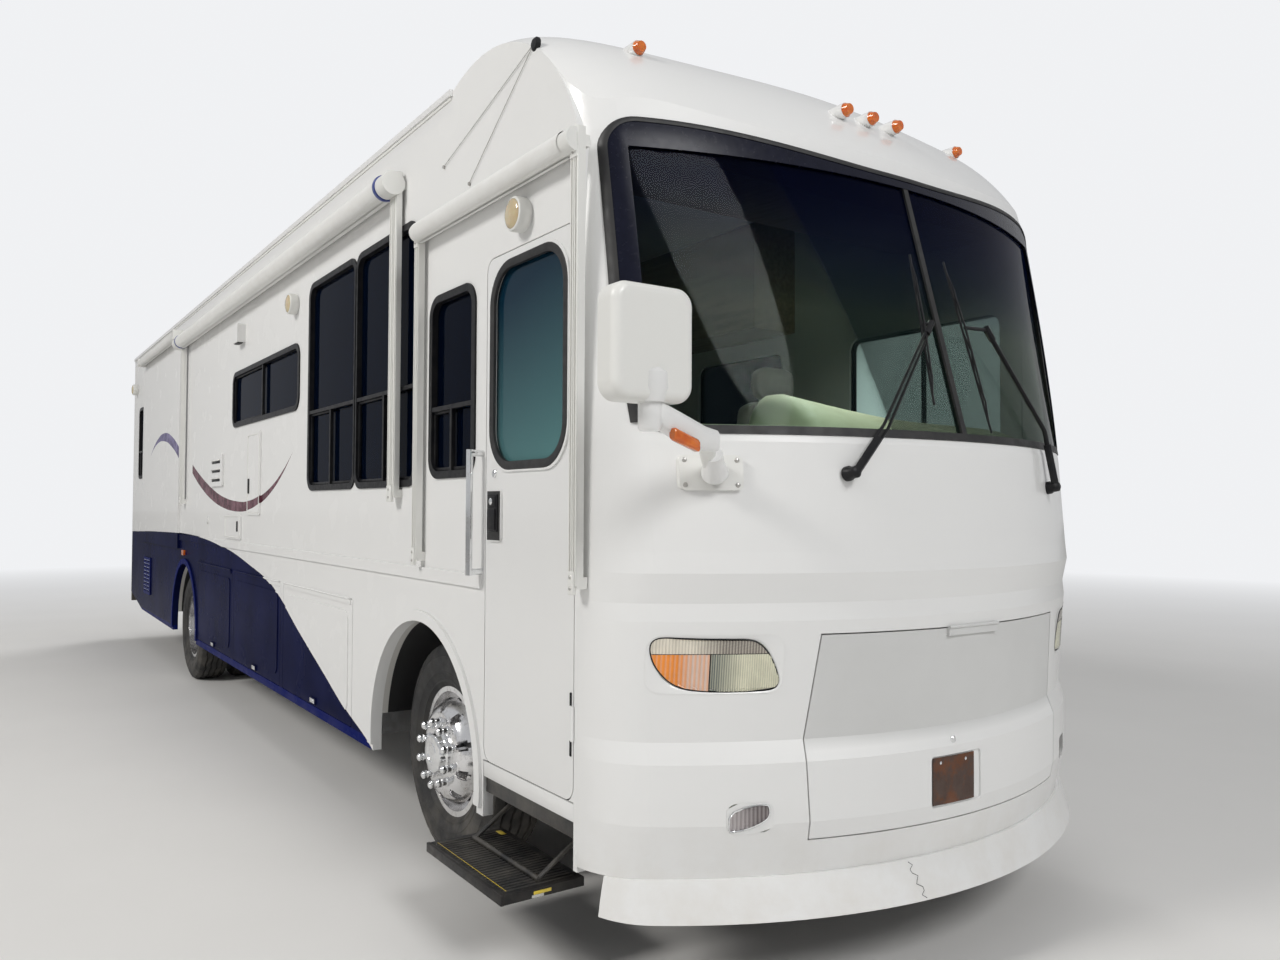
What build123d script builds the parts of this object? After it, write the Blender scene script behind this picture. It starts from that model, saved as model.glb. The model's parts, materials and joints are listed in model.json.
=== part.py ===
from build123d import *
import math
import os

# Rear-engined coach-type motorhome, millimetres.
# +X is forward, +Y is the driver's side, +Z is up, and the ground is z = 0.
# The origin is on the ground below the middle of the whole vehicle.

# Overall sizes
nose_x = 5860.0
tail_x = -5860.0
half_width = 1295.0
wheelbase = 5860.0
front_axle_x = 3800.0
rear_axle_x = front_axle_x - wheelbase
wall = 45.0
wall_in = half_width - wall
panel_gap = 5.0

# Heights
skirt_z = 400.0
bay_top_z = 1140.0
floor_top_z = 1180.0
floor_thick = 50.0
floor_under_z = floor_top_z - floor_thick
wall_top_z = 3400.0
rail_z = 3485.0
crown_rise = 60.0

# Body ends: the side walls stop at the front seam and at the rear seam
cap_seam_x = 5200.0
rear_seam_x = -5640.0
rear_face_x = -5760.0
rear_corner_radius = 110.0
dome_rear_x = 4100.0
dome_low_z = 2950.0

# Wheels: tyre and rim of a 22.5 inch truck wheel
tyre_radius = 505.0
tyre_half_width = 140.0
tread_half_width = 118.0
bulge_radius = 405.0
rim_lip_radius = 298.0
rim_seat_radius = 286.0
rim_half_width = 108.0
bead_half_width = 90.0
wheel_z = tyre_radius
front_wheel_y = 1030.0
rear_outer_y = 1095.0
dual_spacing = 335.0
kingpin_y = 885.0
spindle_reach = 60.0
axle_short = 60.0
fit_gap = 0.3

# Wheel arches
arch_radius = 615.0
arch_front_x = front_axle_x - 10.0
arch_rear_x = rear_axle_x
arch_rear_radius = 590.0
arch_inner_front_y = 550.0
arch_inner_rear_y = 585.0
liner_thick = 8.0
liner_low_z = 585.0
arch_rows = [
    (arch_front_x, arch_radius, arch_inner_front_y),
    (arch_rear_x, arch_rear_radius, arch_inner_rear_y),
]

# Arch lips and belt moulding, proud of the side walls
arch_lip = 50.0
arch_lip_out = 14.0
belt_low_z = 1315.0
belt_top_z = 1370.0
belt_out = 12.0

# Entry door and its steps
door_rear_x = 4470.0
door_front_x = 5170.0
door_low_z = 630.0
door_top_z = 2650.0
well_inner_y = 700.0
well_floor_z = 640.0
step_pivot_y = 1090.0
step_pivot_z = 500.0
step_arm_out = 250.0
step_arm_drop = 170.0
step_rear_x = 4410.0
step_front_x = 5060.0
tread_thick = 32.0

# Slide-out room at the rear of the right side
slide_rear_x = -4690.0
slide_front_x = -2390.0
slide_low_z = 1260.0
slide_top_z = 3170.0
slide_depth = 780.0
slide_flange = 30.0

# Rows of side windows: x0, x1, z0, z1 and corner radius
# Right side: two tall living-room windows, one small one by the door, one wide galley window
right_windows = [
    ("tall_rear", 1990.0, 2830.0, 1770.0, 2990.0, 70.0),
    ("tall_front", 2870.0, 3700.0, 1770.0, 2990.0, 70.0),
    ("small", 3910.0, 4340.0, 1800.0, 2570.0, 70.0),
    ("galley", -90.0, 1730.0, 2290.0, 2670.0, 70.0),
    ("bedroom", -5140.0, -4840.0, 2000.0, 2800.0, 60.0),
]
left_windows = [
    ("cab", 4060.0, 5080.0, 1800.0, 2640.0, 70.0),
    ("lounge_front", 2620.0, 3480.0, 1770.0, 2640.0, 70.0),
    ("lounge_rear", 780.0, 1960.0, 1950.0, 2640.0, 70.0),
    ("bath", -1180.0, -720.0, 2180.0, 2640.0, 70.0),
    ("bedroom", -4420.0, -3180.0, 1950.0, 2640.0, 70.0),
]
frame_width = 34.0
frame_proud = 9.0
frame_lap = 6.0
sleeve_depth = 30.0
glass_in = 20.0
glass_thick = 6.0
bar_width = 20.0
wide_bar_share = 0.5
tall_bar_share = 0.37

# Luggage bays fill the length between the wheel arches
bay_rear_x = rear_axle_x + arch_rear_radius + 30.0
bay_front_x = arch_front_x - arch_radius - 175.0
bay_length = bay_front_x - bay_rear_x

# Bay doors: name, side, and where each door starts and ends as a share of the bays' length
bay_doors = [
    ("right_front", -1, 0.649, 0.962),
    ("right_middle", -1, 0.325, 0.633),
    ("right_rear", -1, 0.005, 0.309),
    ("left_front", 1, 0.649, 0.962),
    ("left_rear", 1, 0.005, 0.633),
]
bulkhead_shares = [0.0, 0.315, 0.640, 0.9975]
bay_low_z = 455.0
bay_thick = 38.0

# Outside hinges: a barrel that lies against the wall or cap just past the door's edge
hinge_radius = 6.0
hinge_y = half_width + hinge_radius + fit_gap
bay_hinge_z = bay_top_z + 4.0
door_hinge_x = door_front_x + 3.0
engine_hinge_z = 1560.0 + 4.0

# Front cap face: height, centre-line x, front arc radius, corner arc radius
cap_face = [
    (420.0, 5795.0, 2000.0, 300.0),
    (600.0, 5835.0, 2000.0, 300.0),
    (800.0, 5835.0, 2000.0, 300.0),
    (870.0, 5808.0, 2000.0, 300.0),
    (1270.0, 5842.0, 2000.0, 300.0),
    (1330.0, 5835.0, 2000.0, 300.0),
    (1430.0, 5858.0, 2000.0, 300.0),
    (1500.0, 5850.0, 2000.0, 300.0),
    (1870.0, 5820.0, 2000.0, 300.0),
    (2970.0, 5515.0, 2900.0, 200.0),
    (3700.0, 5310.0, 2900.0, 200.0),
]
cap_thick = 32.0

# Dome over the windshield: y, then x and z where the rounding starts, at its middle and on the roof
dome_rows = [
    (1296.0, 5190.0, 2950.0, 4897.0, 3360.0, 4130.0, 3485.0),
    (1190.0, 5285.0, 2985.0, 4975.0, 3365.0, 4260.0, 3592.0),
    (950.0, 5385.0, 2985.0, 5030.0, 3388.0, 4340.0, 3608.0),
    (500.0, 5490.0, 2980.0, 5055.0, 3415.0, 4400.0, 3608.0),
    (0.0, 5530.0, 2978.0, 5060.0, 3435.0, 4400.0, 3612.0),
]
roof_lap = 6.0
chin_reach = 200.0
chin_drop = 120.0
dome_base_z = 2500.0

# Five lamps on the dome, each on a pod: x, y, z
dome_lamps = [
    (5050.0, -950.0, 3405.0),
    (5362.0, -150.0, 3250.0),
    (5362.0, 0.0, 3250.0),
    (5362.0, 150.0, 3250.0),
    (5050.0, 950.0, 3405.0),
]
pod_radius = 30.0
pod_length = 150.0

# Heights between which pieces of the cap's skin are made
screen_zone = (1800.0, 3050.0)
nose_zone = (450.0, 1300.0)
hinge_zone = (1100.0, 1300.0)
cowl_zone = (1600.0, 2000.0)

# Windshield opening on the cap
screen_half = 1205.0
screen_low_z = 1895.0
screen_top_z = 2955.0
screen_radius = 90.0
screen_thick = 8.0
screen_inset = 6.0
pane_corner = 65.0
divider_half = 13.0
gasket_proud = 4.0
gasket_depth = 22.0
screen_gasket = 30.0

# Generator door in the nose
generator_top_z = 1220.0
generator_low_z = 540.0
generator_half_top = 655.0
generator_half_low = 690.0

# Lamps in the nose: y and z of the corners on the right side
headlamp_inner_y = 785.0
headlamp_outer_y = 1180.0
headlamp_low_z = 1035.0
headlamp_top_z = 1222.0
fog_inner_y = 820.0
fog_outer_y = 955.0
fog_low_z = 575.0
fog_top_z = 672.0
headlamp_corner = 45.0
fog_corner = 25.0
lamp_inset = 4.0
lamp_depth = 26.0

# Chassis
rail_y = 400.0
rail_width = 75.0
rail_low_z = 640.0
rail_high_z = 900.0
rail_rear_x = -5600.0
rail_front_x = 5100.0

# Engine, generator set and tanks are plain blocks at their real places
engine_box = (-5380.0, -4080.0, 330.0, 480.0, 1080.0)
generator_box = (5140.0, 5600.0, 560.0, 560.0, 1080.0)

# Engine access door in the rear cap
engine_door_half = 760.0
engine_door_low_z = 640.0
engine_door_top_z = 1560.0
rear_low_z = 560.0

# Receiver of the tow hitch
receiver_bore = 51.0
receiver_wall = 6.35
receiver_length = 230.0
receiver_z = 400.0
receiver_pin_radius = 8.0
receiver_pin_from_mouth = 66.0


def box(x0, x1, y0, y1, z0, z1):
    """Block between two corners."""
    size = (abs(x1 - x0), abs(y1 - y0), abs(z1 - z0))
    centre = ((x0 + x1) / 2, (y0 + y1) / 2, (z0 + z1) / 2)
    return Pos(*centre) * Box(*size)


def rod_x(x0, x1, y, z, radius):
    """Round bar along X."""
    return Pos((x0 + x1) / 2, y, z) * Rot(0, 90, 0) * Cylinder(radius, abs(x1 - x0))


def rod_y(x, y0, y1, z, radius):
    """Round bar along Y."""
    return Pos(x, (y0 + y1) / 2, z) * Rot(90, 0, 0) * Cylinder(radius, abs(y1 - y0))


def rod_z(x, y, z0, z1, radius):
    """Round bar along Z."""
    return Pos(x, y, (z0 + z1) / 2) * Cylinder(radius, abs(z1 - z0))


def side_shape(y0, y1, sketch):
    """Extrude a sketch drawn in x and z between two values of y."""
    plane = Plane(origin=(0, y0, 0), x_dir=(1, 0, 0), z_dir=(0, 1 if y1 > y0 else -1, 0))
    if y1 > y0:
        sketch = mirror(sketch, about=Plane.XZ)
    return extrude(plane * sketch, amount=abs(y1 - y0))


def side_rectangle(x0, x1, z0, z1, radius):
    """Rounded rectangle in x and z, as a flat sketch."""
    centre = Pos((x0 + x1) / 2, (z0 + z1) / 2, 0)
    return centre * RectangleRounded(abs(x1 - x0), abs(z1 - z0), radius)


def side_plate(side, y_in, y_out, x0, x1, z0, z1, radius):
    """Rounded plate on one side of the body between two distances from the centre plane."""
    return side_shape(side * y_in, side * y_out, side_rectangle(x0, x1, z0, z1, radius))


def outline(points):
    """Flat sketch bounded by straight lines through the points."""
    return make_face(Polyline(*points, close=True))


def solid_list(shape):
    """Solids of a shape, as a list."""
    return list(shape.solids())


def together(pieces):
    """Compound of separate solids for one node."""
    parts = []
    for piece in pieces:
        parts.extend(solid_list(piece))
    return Compound(children=parts)


def mirrored(pieces):
    """The pieces and their mirror images across the centre plane."""
    return list(pieces) + [mirror(piece, about=Plane.XZ) for piece in pieces]


def fused(pieces):
    """One shape from pieces that overlap or touch."""
    whole = pieces[0]
    for piece in pieces[1:]:
        whole = whole + piece
    return whole


nodes = {}


def keep(name, shape):
    nodes[name] = shape


def roof_z(y):
    """Height of the roof's surface at a distance from the centre plane."""
    radius = (half_width ** 2 + crown_rise ** 2) / (2 * crown_rise)
    return rail_z + crown_rise - radius + math.sqrt(radius ** 2 - y ** 2)


# Front cap surface
def face_row(z):
    """Centre-line x, front radius and corner radius of the cap's face at a height."""
    for low, high in zip(cap_face, cap_face[1:]):
        if z <= high[0]:
            share = (z - low[0]) / (high[0] - low[0])
            return [a + (b - a) * share for a, b in zip(low[1:], high[1:])]
    return list(cap_face[-1][1:])


def face_x(z):
    """Centre-line x of the cap's face at a height."""
    return face_row(z)[0]


def corner_centre(x_centre, radius, small):
    """x of the corner arc's centre, from the face's centre-line x and its two radii."""
    return x_centre - radius + math.sqrt((radius - small) ** 2 - (half_width - small) ** 2)


def surface_x(y, z):
    """x of the cap's face at a place across the width and a height."""
    x_centre, radius, small = face_row(z)
    y = abs(y)
    if y <= (half_width - small) * radius / (radius - small):
        return x_centre - radius + math.sqrt(radius ** 2 - y ** 2)
    corner_x = corner_centre(x_centre, radius, small)
    return corner_x + math.sqrt(small ** 2 - (y - (half_width - small)) ** 2)


def cap_section(z, row, inset):
    """Plan outline of the cap at a height, moved inwards by inset."""
    x_centre, full_radius, full_small = row
    radius = full_radius - inset
    small = full_small - inset
    side = half_width - inset
    centre = x_centre - full_radius
    corner_y = half_width - full_small
    corner_x = corner_centre(x_centre, full_radius, full_small)
    angle = math.atan2(corner_y, corner_x - centre)
    tangent = (centre + radius * math.cos(angle), radius * math.sin(angle))
    mid_angle = (angle + math.pi / 2) / 2
    mid = (corner_x + small * math.cos(mid_angle), corner_y + small * math.sin(mid_angle))
    rear_x = dome_rear_x
    front = ThreePointArc((tangent[0], -tangent[1], z), (centre + radius, 0, z), (tangent[0], tangent[1], z))
    left = ThreePointArc((tangent[0], tangent[1], z), (mid[0], mid[1], z), (corner_x, side, z))
    right = ThreePointArc((corner_x, -side, z), (mid[0], -mid[1], z), (tangent[0], -tangent[1], z))
    back_left = Line((corner_x, side, z), (rear_x, side, z))
    back = Line((rear_x, side, z), (rear_x, -side, z))
    back_right = Line((rear_x, -side, z), (corner_x, -side, z))
    return make_face(Wire([right, front, left, back_left, back, back_right]))


def cap_body(inset, z_low, z_high):
    """Solid inside the cap's face, between two heights."""
    heights = [z_low] + [row[0] for row in cap_face if z_low < row[0] < z_high] + [z_high]
    body = None
    for z0, z1 in zip(heights, heights[1:]):
        piece = loft([cap_section(z0, face_row(z0), inset), cap_section(z1, face_row(z1), inset)],
                     ruled=True)
        body = piece if body is None else body + piece
    return body


def dome_profile(y, row, inset):
    """Side outline of the dome at one distance from the centre plane."""
    edge_y, x_front, z_front, x_mid, z_mid, x_roof, z_roof = row
    z_seam = roof_z(min(edge_y, half_width)) + roof_lap - inset
    chin_x = x_front + chin_reach - inset
    chin_z = z_front - chin_drop - inset * 0.4
    front = (x_front - inset, y, z_front - inset * 0.4)
    middle = (x_mid - inset * 0.6, y, z_mid - inset * 0.8)
    top = (x_roof, y, z_roof - inset)
    base = Line((dome_rear_x, y, dome_base_z), (chin_x, y, dome_base_z))
    nose = Line((chin_x, y, dome_base_z), (chin_x, y, chin_z))
    chin = Line((chin_x, y, chin_z), front)
    crown = ThreePointArc(front, middle, top)
    crest = Line(top, (dome_rear_x, y, z_seam))
    back = Line((dome_rear_x, y, z_seam), (dome_rear_x, y, dome_base_z))
    return make_face(Wire([base, nose, chin, crown, crest, back]))


def dome_body(inset):
    """Solid under the dome's top surface, one smooth loft from side to side."""
    rows = [(-row[0], row) for row in dome_rows] + [(row[0], row) for row in reversed(dome_rows[:-1])]
    return loft([dome_profile(y, row, inset) for y, row in rows])


def wall_profile():
    """Side wall outline in x and z up to the arc below the dome."""
    arc_mid = (
        dome_rear_x + (cap_seam_x - 10.0 - dome_rear_x) * math.sin(math.radians(47)),
        dome_low_z + (rail_z - dome_low_z) * math.sin(math.radians(50)),
    )
    lines = [
        Polyline(
            (dome_rear_x, rail_z),
            (dome_rear_x, wall_top_z),
            (rear_seam_x, wall_top_z),
            (rear_seam_x, skirt_z + 180.0),
            (rear_seam_x + 900.0, skirt_z + 30.0),
            (rear_axle_x, skirt_z),
            (cap_seam_x, skirt_z),
            (cap_seam_x, dome_low_z - 4.0),
            (cap_seam_x - 10.0, dome_low_z),
        ),
        ThreePointArc((cap_seam_x - 10.0, dome_low_z), arc_mid, (dome_rear_x, rail_z)),
    ]
    return make_face(Wire(lines[0].edges() + lines[1].edges()))


def opening_list(side):
    """Cuts through one side wall: x0, x1, z0, z1, radius."""
    cuts = []
    for name, x0, x1, z0, z1, radius in (right_windows if side < 0 else left_windows):
        cuts.append((x0, x1, z0, z1, radius))
    for name, door_side, start, end in bay_doors:
        if door_side == side:
            x0 = bay_rear_x + start * bay_length
            x1 = bay_rear_x + end * bay_length
            cuts.append((x0 - panel_gap, x1 + panel_gap, bay_low_z - panel_gap, bay_top_z + panel_gap, 20.0))
    if side < 0:
        cuts.append((door_rear_x - panel_gap, door_front_x + panel_gap, door_low_z - panel_gap,
                     door_top_z + panel_gap, 60.0))
        cuts.append((slide_rear_x, slide_front_x, slide_low_z, slide_top_z, 20.0))
    return cuts


def side_wall(side):
    """One side wall panel with its windows, doors, bays and wheel arches cut."""
    panel = side_shape(side * wall_in, side * half_width, wall_profile())
    for x0, x1, z0, z1, radius in opening_list(side):
        panel = panel - side_plate(side, wall_in - 10.0, half_width + 10.0, x0, x1, z0, z1, radius)
    for x, radius in ((arch_front_x, arch_radius), (arch_rear_x, arch_rear_radius)):
        panel = panel - rod_y(x, side * (wall_in - 10.0), side * (half_width + 10.0), wheel_z, radius)
        panel = panel - box(x - radius, x + radius, side * (wall_in - 10.0), side * (half_width + 10.0),
                            0.0, wheel_z)
    # Door sill strip below the entry door is open, where the black step panel stands
    if side < 0:
        panel = panel - box(door_rear_x - panel_gap, door_front_x + panel_gap, -wall_in + 10.0,
                            -half_width - 10.0, 0.0, door_low_z)
    # Raised arch lips, moulded with the wall
    for x, radius in ((arch_front_x, arch_radius), (arch_rear_x, arch_rear_radius)):
        cut_y = (side * (half_width - 1.0), side * (half_width + arch_lip_out + 1.0))
        ring = rod_y(x, side * half_width, side * (half_width + arch_lip_out), wheel_z, radius + arch_lip)
        ring = ring - rod_y(x, *cut_y, wheel_z, radius)
        panel = panel + (ring - box(x - 900.0, x + 900.0, *cut_y, -400.0, skirt_z + 35.0))
    # Belt moulding
    belt_front = door_rear_x - 30.0 if side < 0 else cap_seam_x
    belt_rows = [(slide_front_x + 40.0, belt_front)] if side < 0 else [(rear_seam_x, belt_front)]
    for x0, x1 in belt_rows:
        panel = panel + box(x0, x1, side * half_width, side * (half_width + belt_out), belt_low_z, belt_top_z)
    return panel


keep("right_wall", side_wall(-1))
keep("left_wall", side_wall(1))

# Roof: one crowned slab with its guttered edges
roof_arc = ThreePointArc((-half_width, rail_z), (0, rail_z + crown_rise), (half_width, rail_z))
roof_base = Polyline((half_width, rail_z), (half_width, wall_top_z), (-half_width, wall_top_z),
                     (-half_width, rail_z))
roof_section = make_face(Wire(roof_arc.edges() + roof_base.edges()))
roof_plane = Plane(origin=(rear_seam_x, 0, 0), x_dir=(0, 1, 0), z_dir=(1, 0, 0))
roof = extrude(roof_plane * roof_section, amount=dome_rear_x - rear_seam_x)
gutter_low_z = rail_z - 20.0
gutter_high_z = rail_z + 8.0
gutter_out = 14.0
for side in (-1, 1):
    gutter_y = (side * (half_width - 12.0), side * (half_width + gutter_out))
    roof = roof + box(rear_seam_x, dome_rear_x, *gutter_y, gutter_low_z, gutter_high_z)
keep("roof", roof)

# Front cap: face below, dome above, one moulded shell
cap_outer = cap_body(0.0, cap_face[0][0], cap_face[-1][0]) & (
    dome_body(0.0) + box(dome_rear_x, nose_x + 200.0, -half_width - 5.0, half_width + 5.0, 300.0, 2600.0))
cap_inner = cap_body(cap_thick, cap_face[0][0], cap_face[-1][0]) & (
    dome_body(cap_thick) + box(dome_rear_x - 5.0, nose_x + 200.0, -half_width, half_width, 300.0, 2600.0))
front_cap = cap_outer - cap_inner
seam_cut = side_shape(-half_width - 10.0, half_width + 10.0, wall_profile())
low_cut = box(dome_rear_x - 50.0, cap_seam_x, -half_width - 20.0, half_width + 20.0, 200.0, dome_low_z)
front_cap = front_cap - seam_cut - low_cut


def face_window(y0, y1, z0, z1, radius, x_back=4700.0, x_front=6000.0):
    """Prism along X with a rounded outline in y and z, to cut the cap's face."""
    plane = Plane(origin=(x_back, 0, 0), x_dir=(0, 1, 0), z_dir=(1, 0, 0))
    sketch = Pos((y0 + y1) / 2, (z0 + z1) / 2, 0) * RectangleRounded(y1 - y0, z1 - z0, radius)
    return extrude(plane * sketch, amount=x_front - x_back)


def generator_outline(grow):
    """Outline of the generator door in y and z."""
    points = [
        (-generator_half_top - grow, generator_top_z + grow),
        (-generator_half_top - 50.0 - grow, 800.0),
        (-generator_half_low - grow, generator_low_z - grow),
        (generator_half_low + grow, generator_low_z - grow),
        (generator_half_top + 50.0 + grow, 800.0),
        (generator_half_top + grow, generator_top_z + grow),
    ]
    plane = Plane(origin=(5300.0, 0, 0), x_dir=(0, 1, 0), z_dir=(1, 0, 0))
    return extrude(plane * outline(points), amount=700.0)


screen_cut = face_window(-screen_half, screen_half, screen_low_z, screen_top_z, screen_radius)
front_cap = front_cap - screen_cut
front_cap = front_cap - generator_outline(panel_gap)
for side in (-1, 1):
    ys = sorted((side * headlamp_inner_y, side * headlamp_outer_y))
    front_cap = front_cap - face_window(ys[0], ys[1], headlamp_low_z, headlamp_top_z, headlamp_corner)
    ys = sorted((side * fog_inner_y, side * fog_outer_y))
    front_cap = front_cap - face_window(ys[0], ys[1], fog_low_z, fog_top_z, fog_corner)
# A pod behind each lamp of the dome, moulded with it
for x, y, z in dome_lamps:
    front_cap = front_cap + (rod_x(x - pod_length, x, y, z, pod_radius) - dome_body(cap_thick / 2))
keep("front_cap", front_cap)

# Windshield: two panes in a rubber gasket with a centre bar
pane_shell = cap_body(screen_inset, *screen_zone) - cap_body(screen_inset + screen_thick, *screen_zone)
pane_half = screen_half - screen_gasket
pane_area = face_window(-pane_half, pane_half, screen_low_z + screen_gasket, screen_top_z - screen_gasket,
                        pane_corner)
panes = (pane_shell & pane_area) - box(dome_rear_x, nose_x + 140.0, -divider_half, divider_half,
                                       *screen_zone)
keep("windshield", panes)
gasket_shell = cap_body(-gasket_proud, *screen_zone) - cap_body(gasket_depth, *screen_zone)
gasket_area = face_window(-screen_half + fit_gap, screen_half - fit_gap, screen_low_z + fit_gap,
                          screen_top_z - fit_gap, screen_radius)
gasket_hole = face_window(-pane_half - fit_gap, pane_half + fit_gap, screen_low_z + screen_gasket - fit_gap,
                          screen_top_z - screen_gasket + fit_gap, pane_corner)
bar_half = divider_half - fit_gap
bar = gasket_shell & box(dome_rear_x, nose_x + 140.0, -bar_half, bar_half, screen_low_z + 10.0,
                         screen_top_z - 10.0)
gasket = (gasket_shell & (gasket_area - gasket_hole)) + bar
keep("windshield_gasket", gasket)

# Generator door: the cap's own skin cut out, with a plate pocket
door_skin = cap_body(0.0, *nose_zone) - cap_body(cap_thick - 8.0, *nose_zone)
generator_door = door_skin & generator_outline(0.0)
# Shallow pocket for the number plate, on the right half of the door
pocket_depth = 7.0
pocket = (-215.0, 45.0, 590.0, 770.0)
generator_door = generator_door - ((cap_body(-1.0, *nose_zone) - cap_body(pocket_depth, *nose_zone))
                                   & face_window(*pocket, 14.0))
nose_hinge_z = generator_top_z + 4.0
nose_hinge_x = face_x(nose_hinge_z) + hinge_radius + fit_gap
nose_hinge_half = 140.0
nose_barrel = rod_y(nose_hinge_x, -nose_hinge_half, nose_hinge_half, nose_hinge_z, hinge_radius)
nose_barrel = nose_barrel - cap_body(-fit_gap, *hinge_zone)
nose_leaf = box(nose_hinge_x - 20.0, nose_hinge_x, -nose_hinge_half, nose_hinge_half, nose_hinge_z - 30.0,
                nose_hinge_z - 2.0)
nose_leaf = nose_leaf - cap_body(0.0, generator_top_z + 2.0, hinge_zone[1])
nose_leaf = nose_leaf - cap_body(cap_thick - 10.0, *hinge_zone)
generator_door = fused([generator_door, nose_barrel, nose_leaf])
keep("generator_door", generator_door)

# Lamps in the nose
lamp_shell = cap_body(lamp_inset, *nose_zone) - cap_body(lamp_depth, *nose_zone)
lamps = []
for side in (-1, 1):
    ys = sorted((side * (headlamp_inner_y + fit_gap), side * (headlamp_outer_y - fit_gap)))
    lamps.append(lamp_shell & face_window(ys[0], ys[1], headlamp_low_z + fit_gap, headlamp_top_z - fit_gap,
                                          headlamp_corner))
# The left fog lamp is missing: its hole stays empty
lamps.append(lamp_shell & face_window(-fog_outer_y + fit_gap, -fog_inner_y - fit_gap, fog_low_z + fit_gap,
                                      fog_top_z - fit_gap, fog_corner))
keep("headlamps", together(lamps))

# Front spoiler lip, fixed along the cap's lower edge
lip_low_z = 290.0
lip_top_z = 420.0 - fit_gap
lip_thick = 26.0
lip_radii = cap_face[0][2:]
lip_low_row = (nose_x,) + lip_radii
lip_top_row = (cap_face[0][1] + 12.0,) + lip_radii
lip = loft([cap_section(lip_low_z, lip_low_row, 0.0), cap_section(lip_top_z, lip_top_row, 0.0)], ruled=True)
lip = lip - loft([cap_section(lip_low_z, lip_low_row, lip_thick), cap_section(lip_top_z, lip_top_row,
                                                                              lip_thick)],
                 ruled=True)
lip = lip - box(dome_rear_x - 50.0, cap_seam_x + 120.0, -half_width - 30.0, half_width + 30.0, 200.0, 500.0)
keep("front_spoiler", lip)

# Floor: a main slab behind the stepwell, one beside it and a strip ahead of it
well_x0 = door_rear_x - 20.0
well_x1 = door_front_x + 20.0
floor_front_x = 5500.0
floor_front = cap_body(cap_thick + 1.0, 1000.0, 1300.0)
floor_slabs = [
    box(rear_seam_x - 10.0, well_x0, -wall_in, wall_in, floor_under_z, floor_top_z),
    box(well_x0 + fit_gap, floor_front_x, -well_inner_y, wall_in, floor_under_z, floor_top_z) & floor_front,
    box(well_x1, floor_front_x, -wall_in, -well_inner_y - fit_gap, floor_under_z, floor_top_z) & floor_front,
]
keep("floor", together(floor_slabs))

# Stepwell inside the entry door: two treads, a riser and three walls of plate
plate = 12.0
well_x0 = well_x0 + fit_gap
well_x1 = well_x1 - fit_gap
well_y1 = -well_inner_y - fit_gap
well_step_y = -950.0
well_step_z = 900.0
riser_x = (well_x0 + plate + fit_gap, well_x1 - plate - fit_gap)
well_plates = [
    box(well_x0, well_x1, -wall_in, well_y1, well_floor_z - plate, well_floor_z),
    box(well_x0, well_x0 + plate, -wall_in, well_y1, well_floor_z + fit_gap, floor_top_z),
    box(well_x1 - plate, well_x1, -wall_in, well_y1, well_floor_z + fit_gap, floor_top_z),
    box(*riser_x, well_y1 - plate, well_y1, well_floor_z + fit_gap, floor_top_z),
    box(*riser_x, well_step_y, well_y1 - plate - fit_gap, well_step_z, well_step_z + plate),
    box(*riser_x, well_step_y, well_step_y + plate, well_floor_z + fit_gap, well_step_z - fit_gap),
]
keep("stepwell", together(well_plates))

# Wheel arch liners
liners = []
for x, radius, y_in in arch_rows:
    shell = rod_y(x, -wall_in, -y_in, wheel_z, radius + liner_thick)
    shell = shell - rod_y(x, -wall_in - 5.0, -y_in - liner_thick, wheel_z, radius)
    shell = shell - box(x - 800.0, x + 800.0, -wall_in - 5.0, -y_in + 5.0, -200.0, liner_low_z)
    liners.append(shell)
keep("arch_liners", together(mirrored(liners)))

# Chassis: two rails with cross members between them and outriggers on top
rail_in = rail_y - rail_width / 2
rail_out = rail_y + rail_width / 2
members = []
for side in (-1, 1):
    members.append(box(rail_rear_x, rail_front_x, side * rail_in, side * rail_out, rail_low_z, rail_high_z))
cross_half = 40.0
cross_x = [rail_rear_x + 120.0, -3900.0, -2900.0, -1100.0, 400.0, 1900.0, 3000.0, 4600.0,
           rail_front_x - cross_half]
cross_inset = 30.0
for x in cross_x:
    members.append(box(x - cross_half, x + cross_half, -rail_in + fit_gap, rail_in - fit_gap,
                       rail_low_z + cross_inset, rail_high_z - cross_inset))
outrigger_half = 30.0
outrigger_reach = arch_inner_rear_y - 20.0
for x in cross_x[1:7]:
    members.append(box(x - outrigger_half, x + outrigger_half, -outrigger_reach, outrigger_reach,
                       rail_high_z + fit_gap, floor_under_z - fit_gap))
# Trays below the generator set and the engine, each hung from the rails by two plates
tray_thick = 14.0
hanger_half = 30.0
generator_under = generator_box[3] - fit_gap
engine_under = engine_box[3] - fit_gap
tray_rows = [
    (rail_front_x - 90.0, generator_box[1] - 20.0, rail_front_x - 90.0, generator_under),
    (engine_box[0] + 120.0, engine_box[0] + 180.0, engine_box[0] + 120.0, engine_under),
    (engine_box[1] - 180.0, engine_box[1] - 120.0, engine_box[1] - 180.0, engine_under),
]
for x0, x1, hanger_x, top_z in tray_rows:
    members.append(box(x0, x1, -rail_y - hanger_half, rail_y + hanger_half, top_z - tray_thick, top_z))
    for side in (-1, 1):
        members.append(box(hanger_x, hanger_x + 2 * hanger_half, side * (rail_y - hanger_half),
                           side * (rail_y + hanger_half), top_z + fit_gap, rail_low_z - fit_gap))
keep("chassis_frame", together(members))

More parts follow.
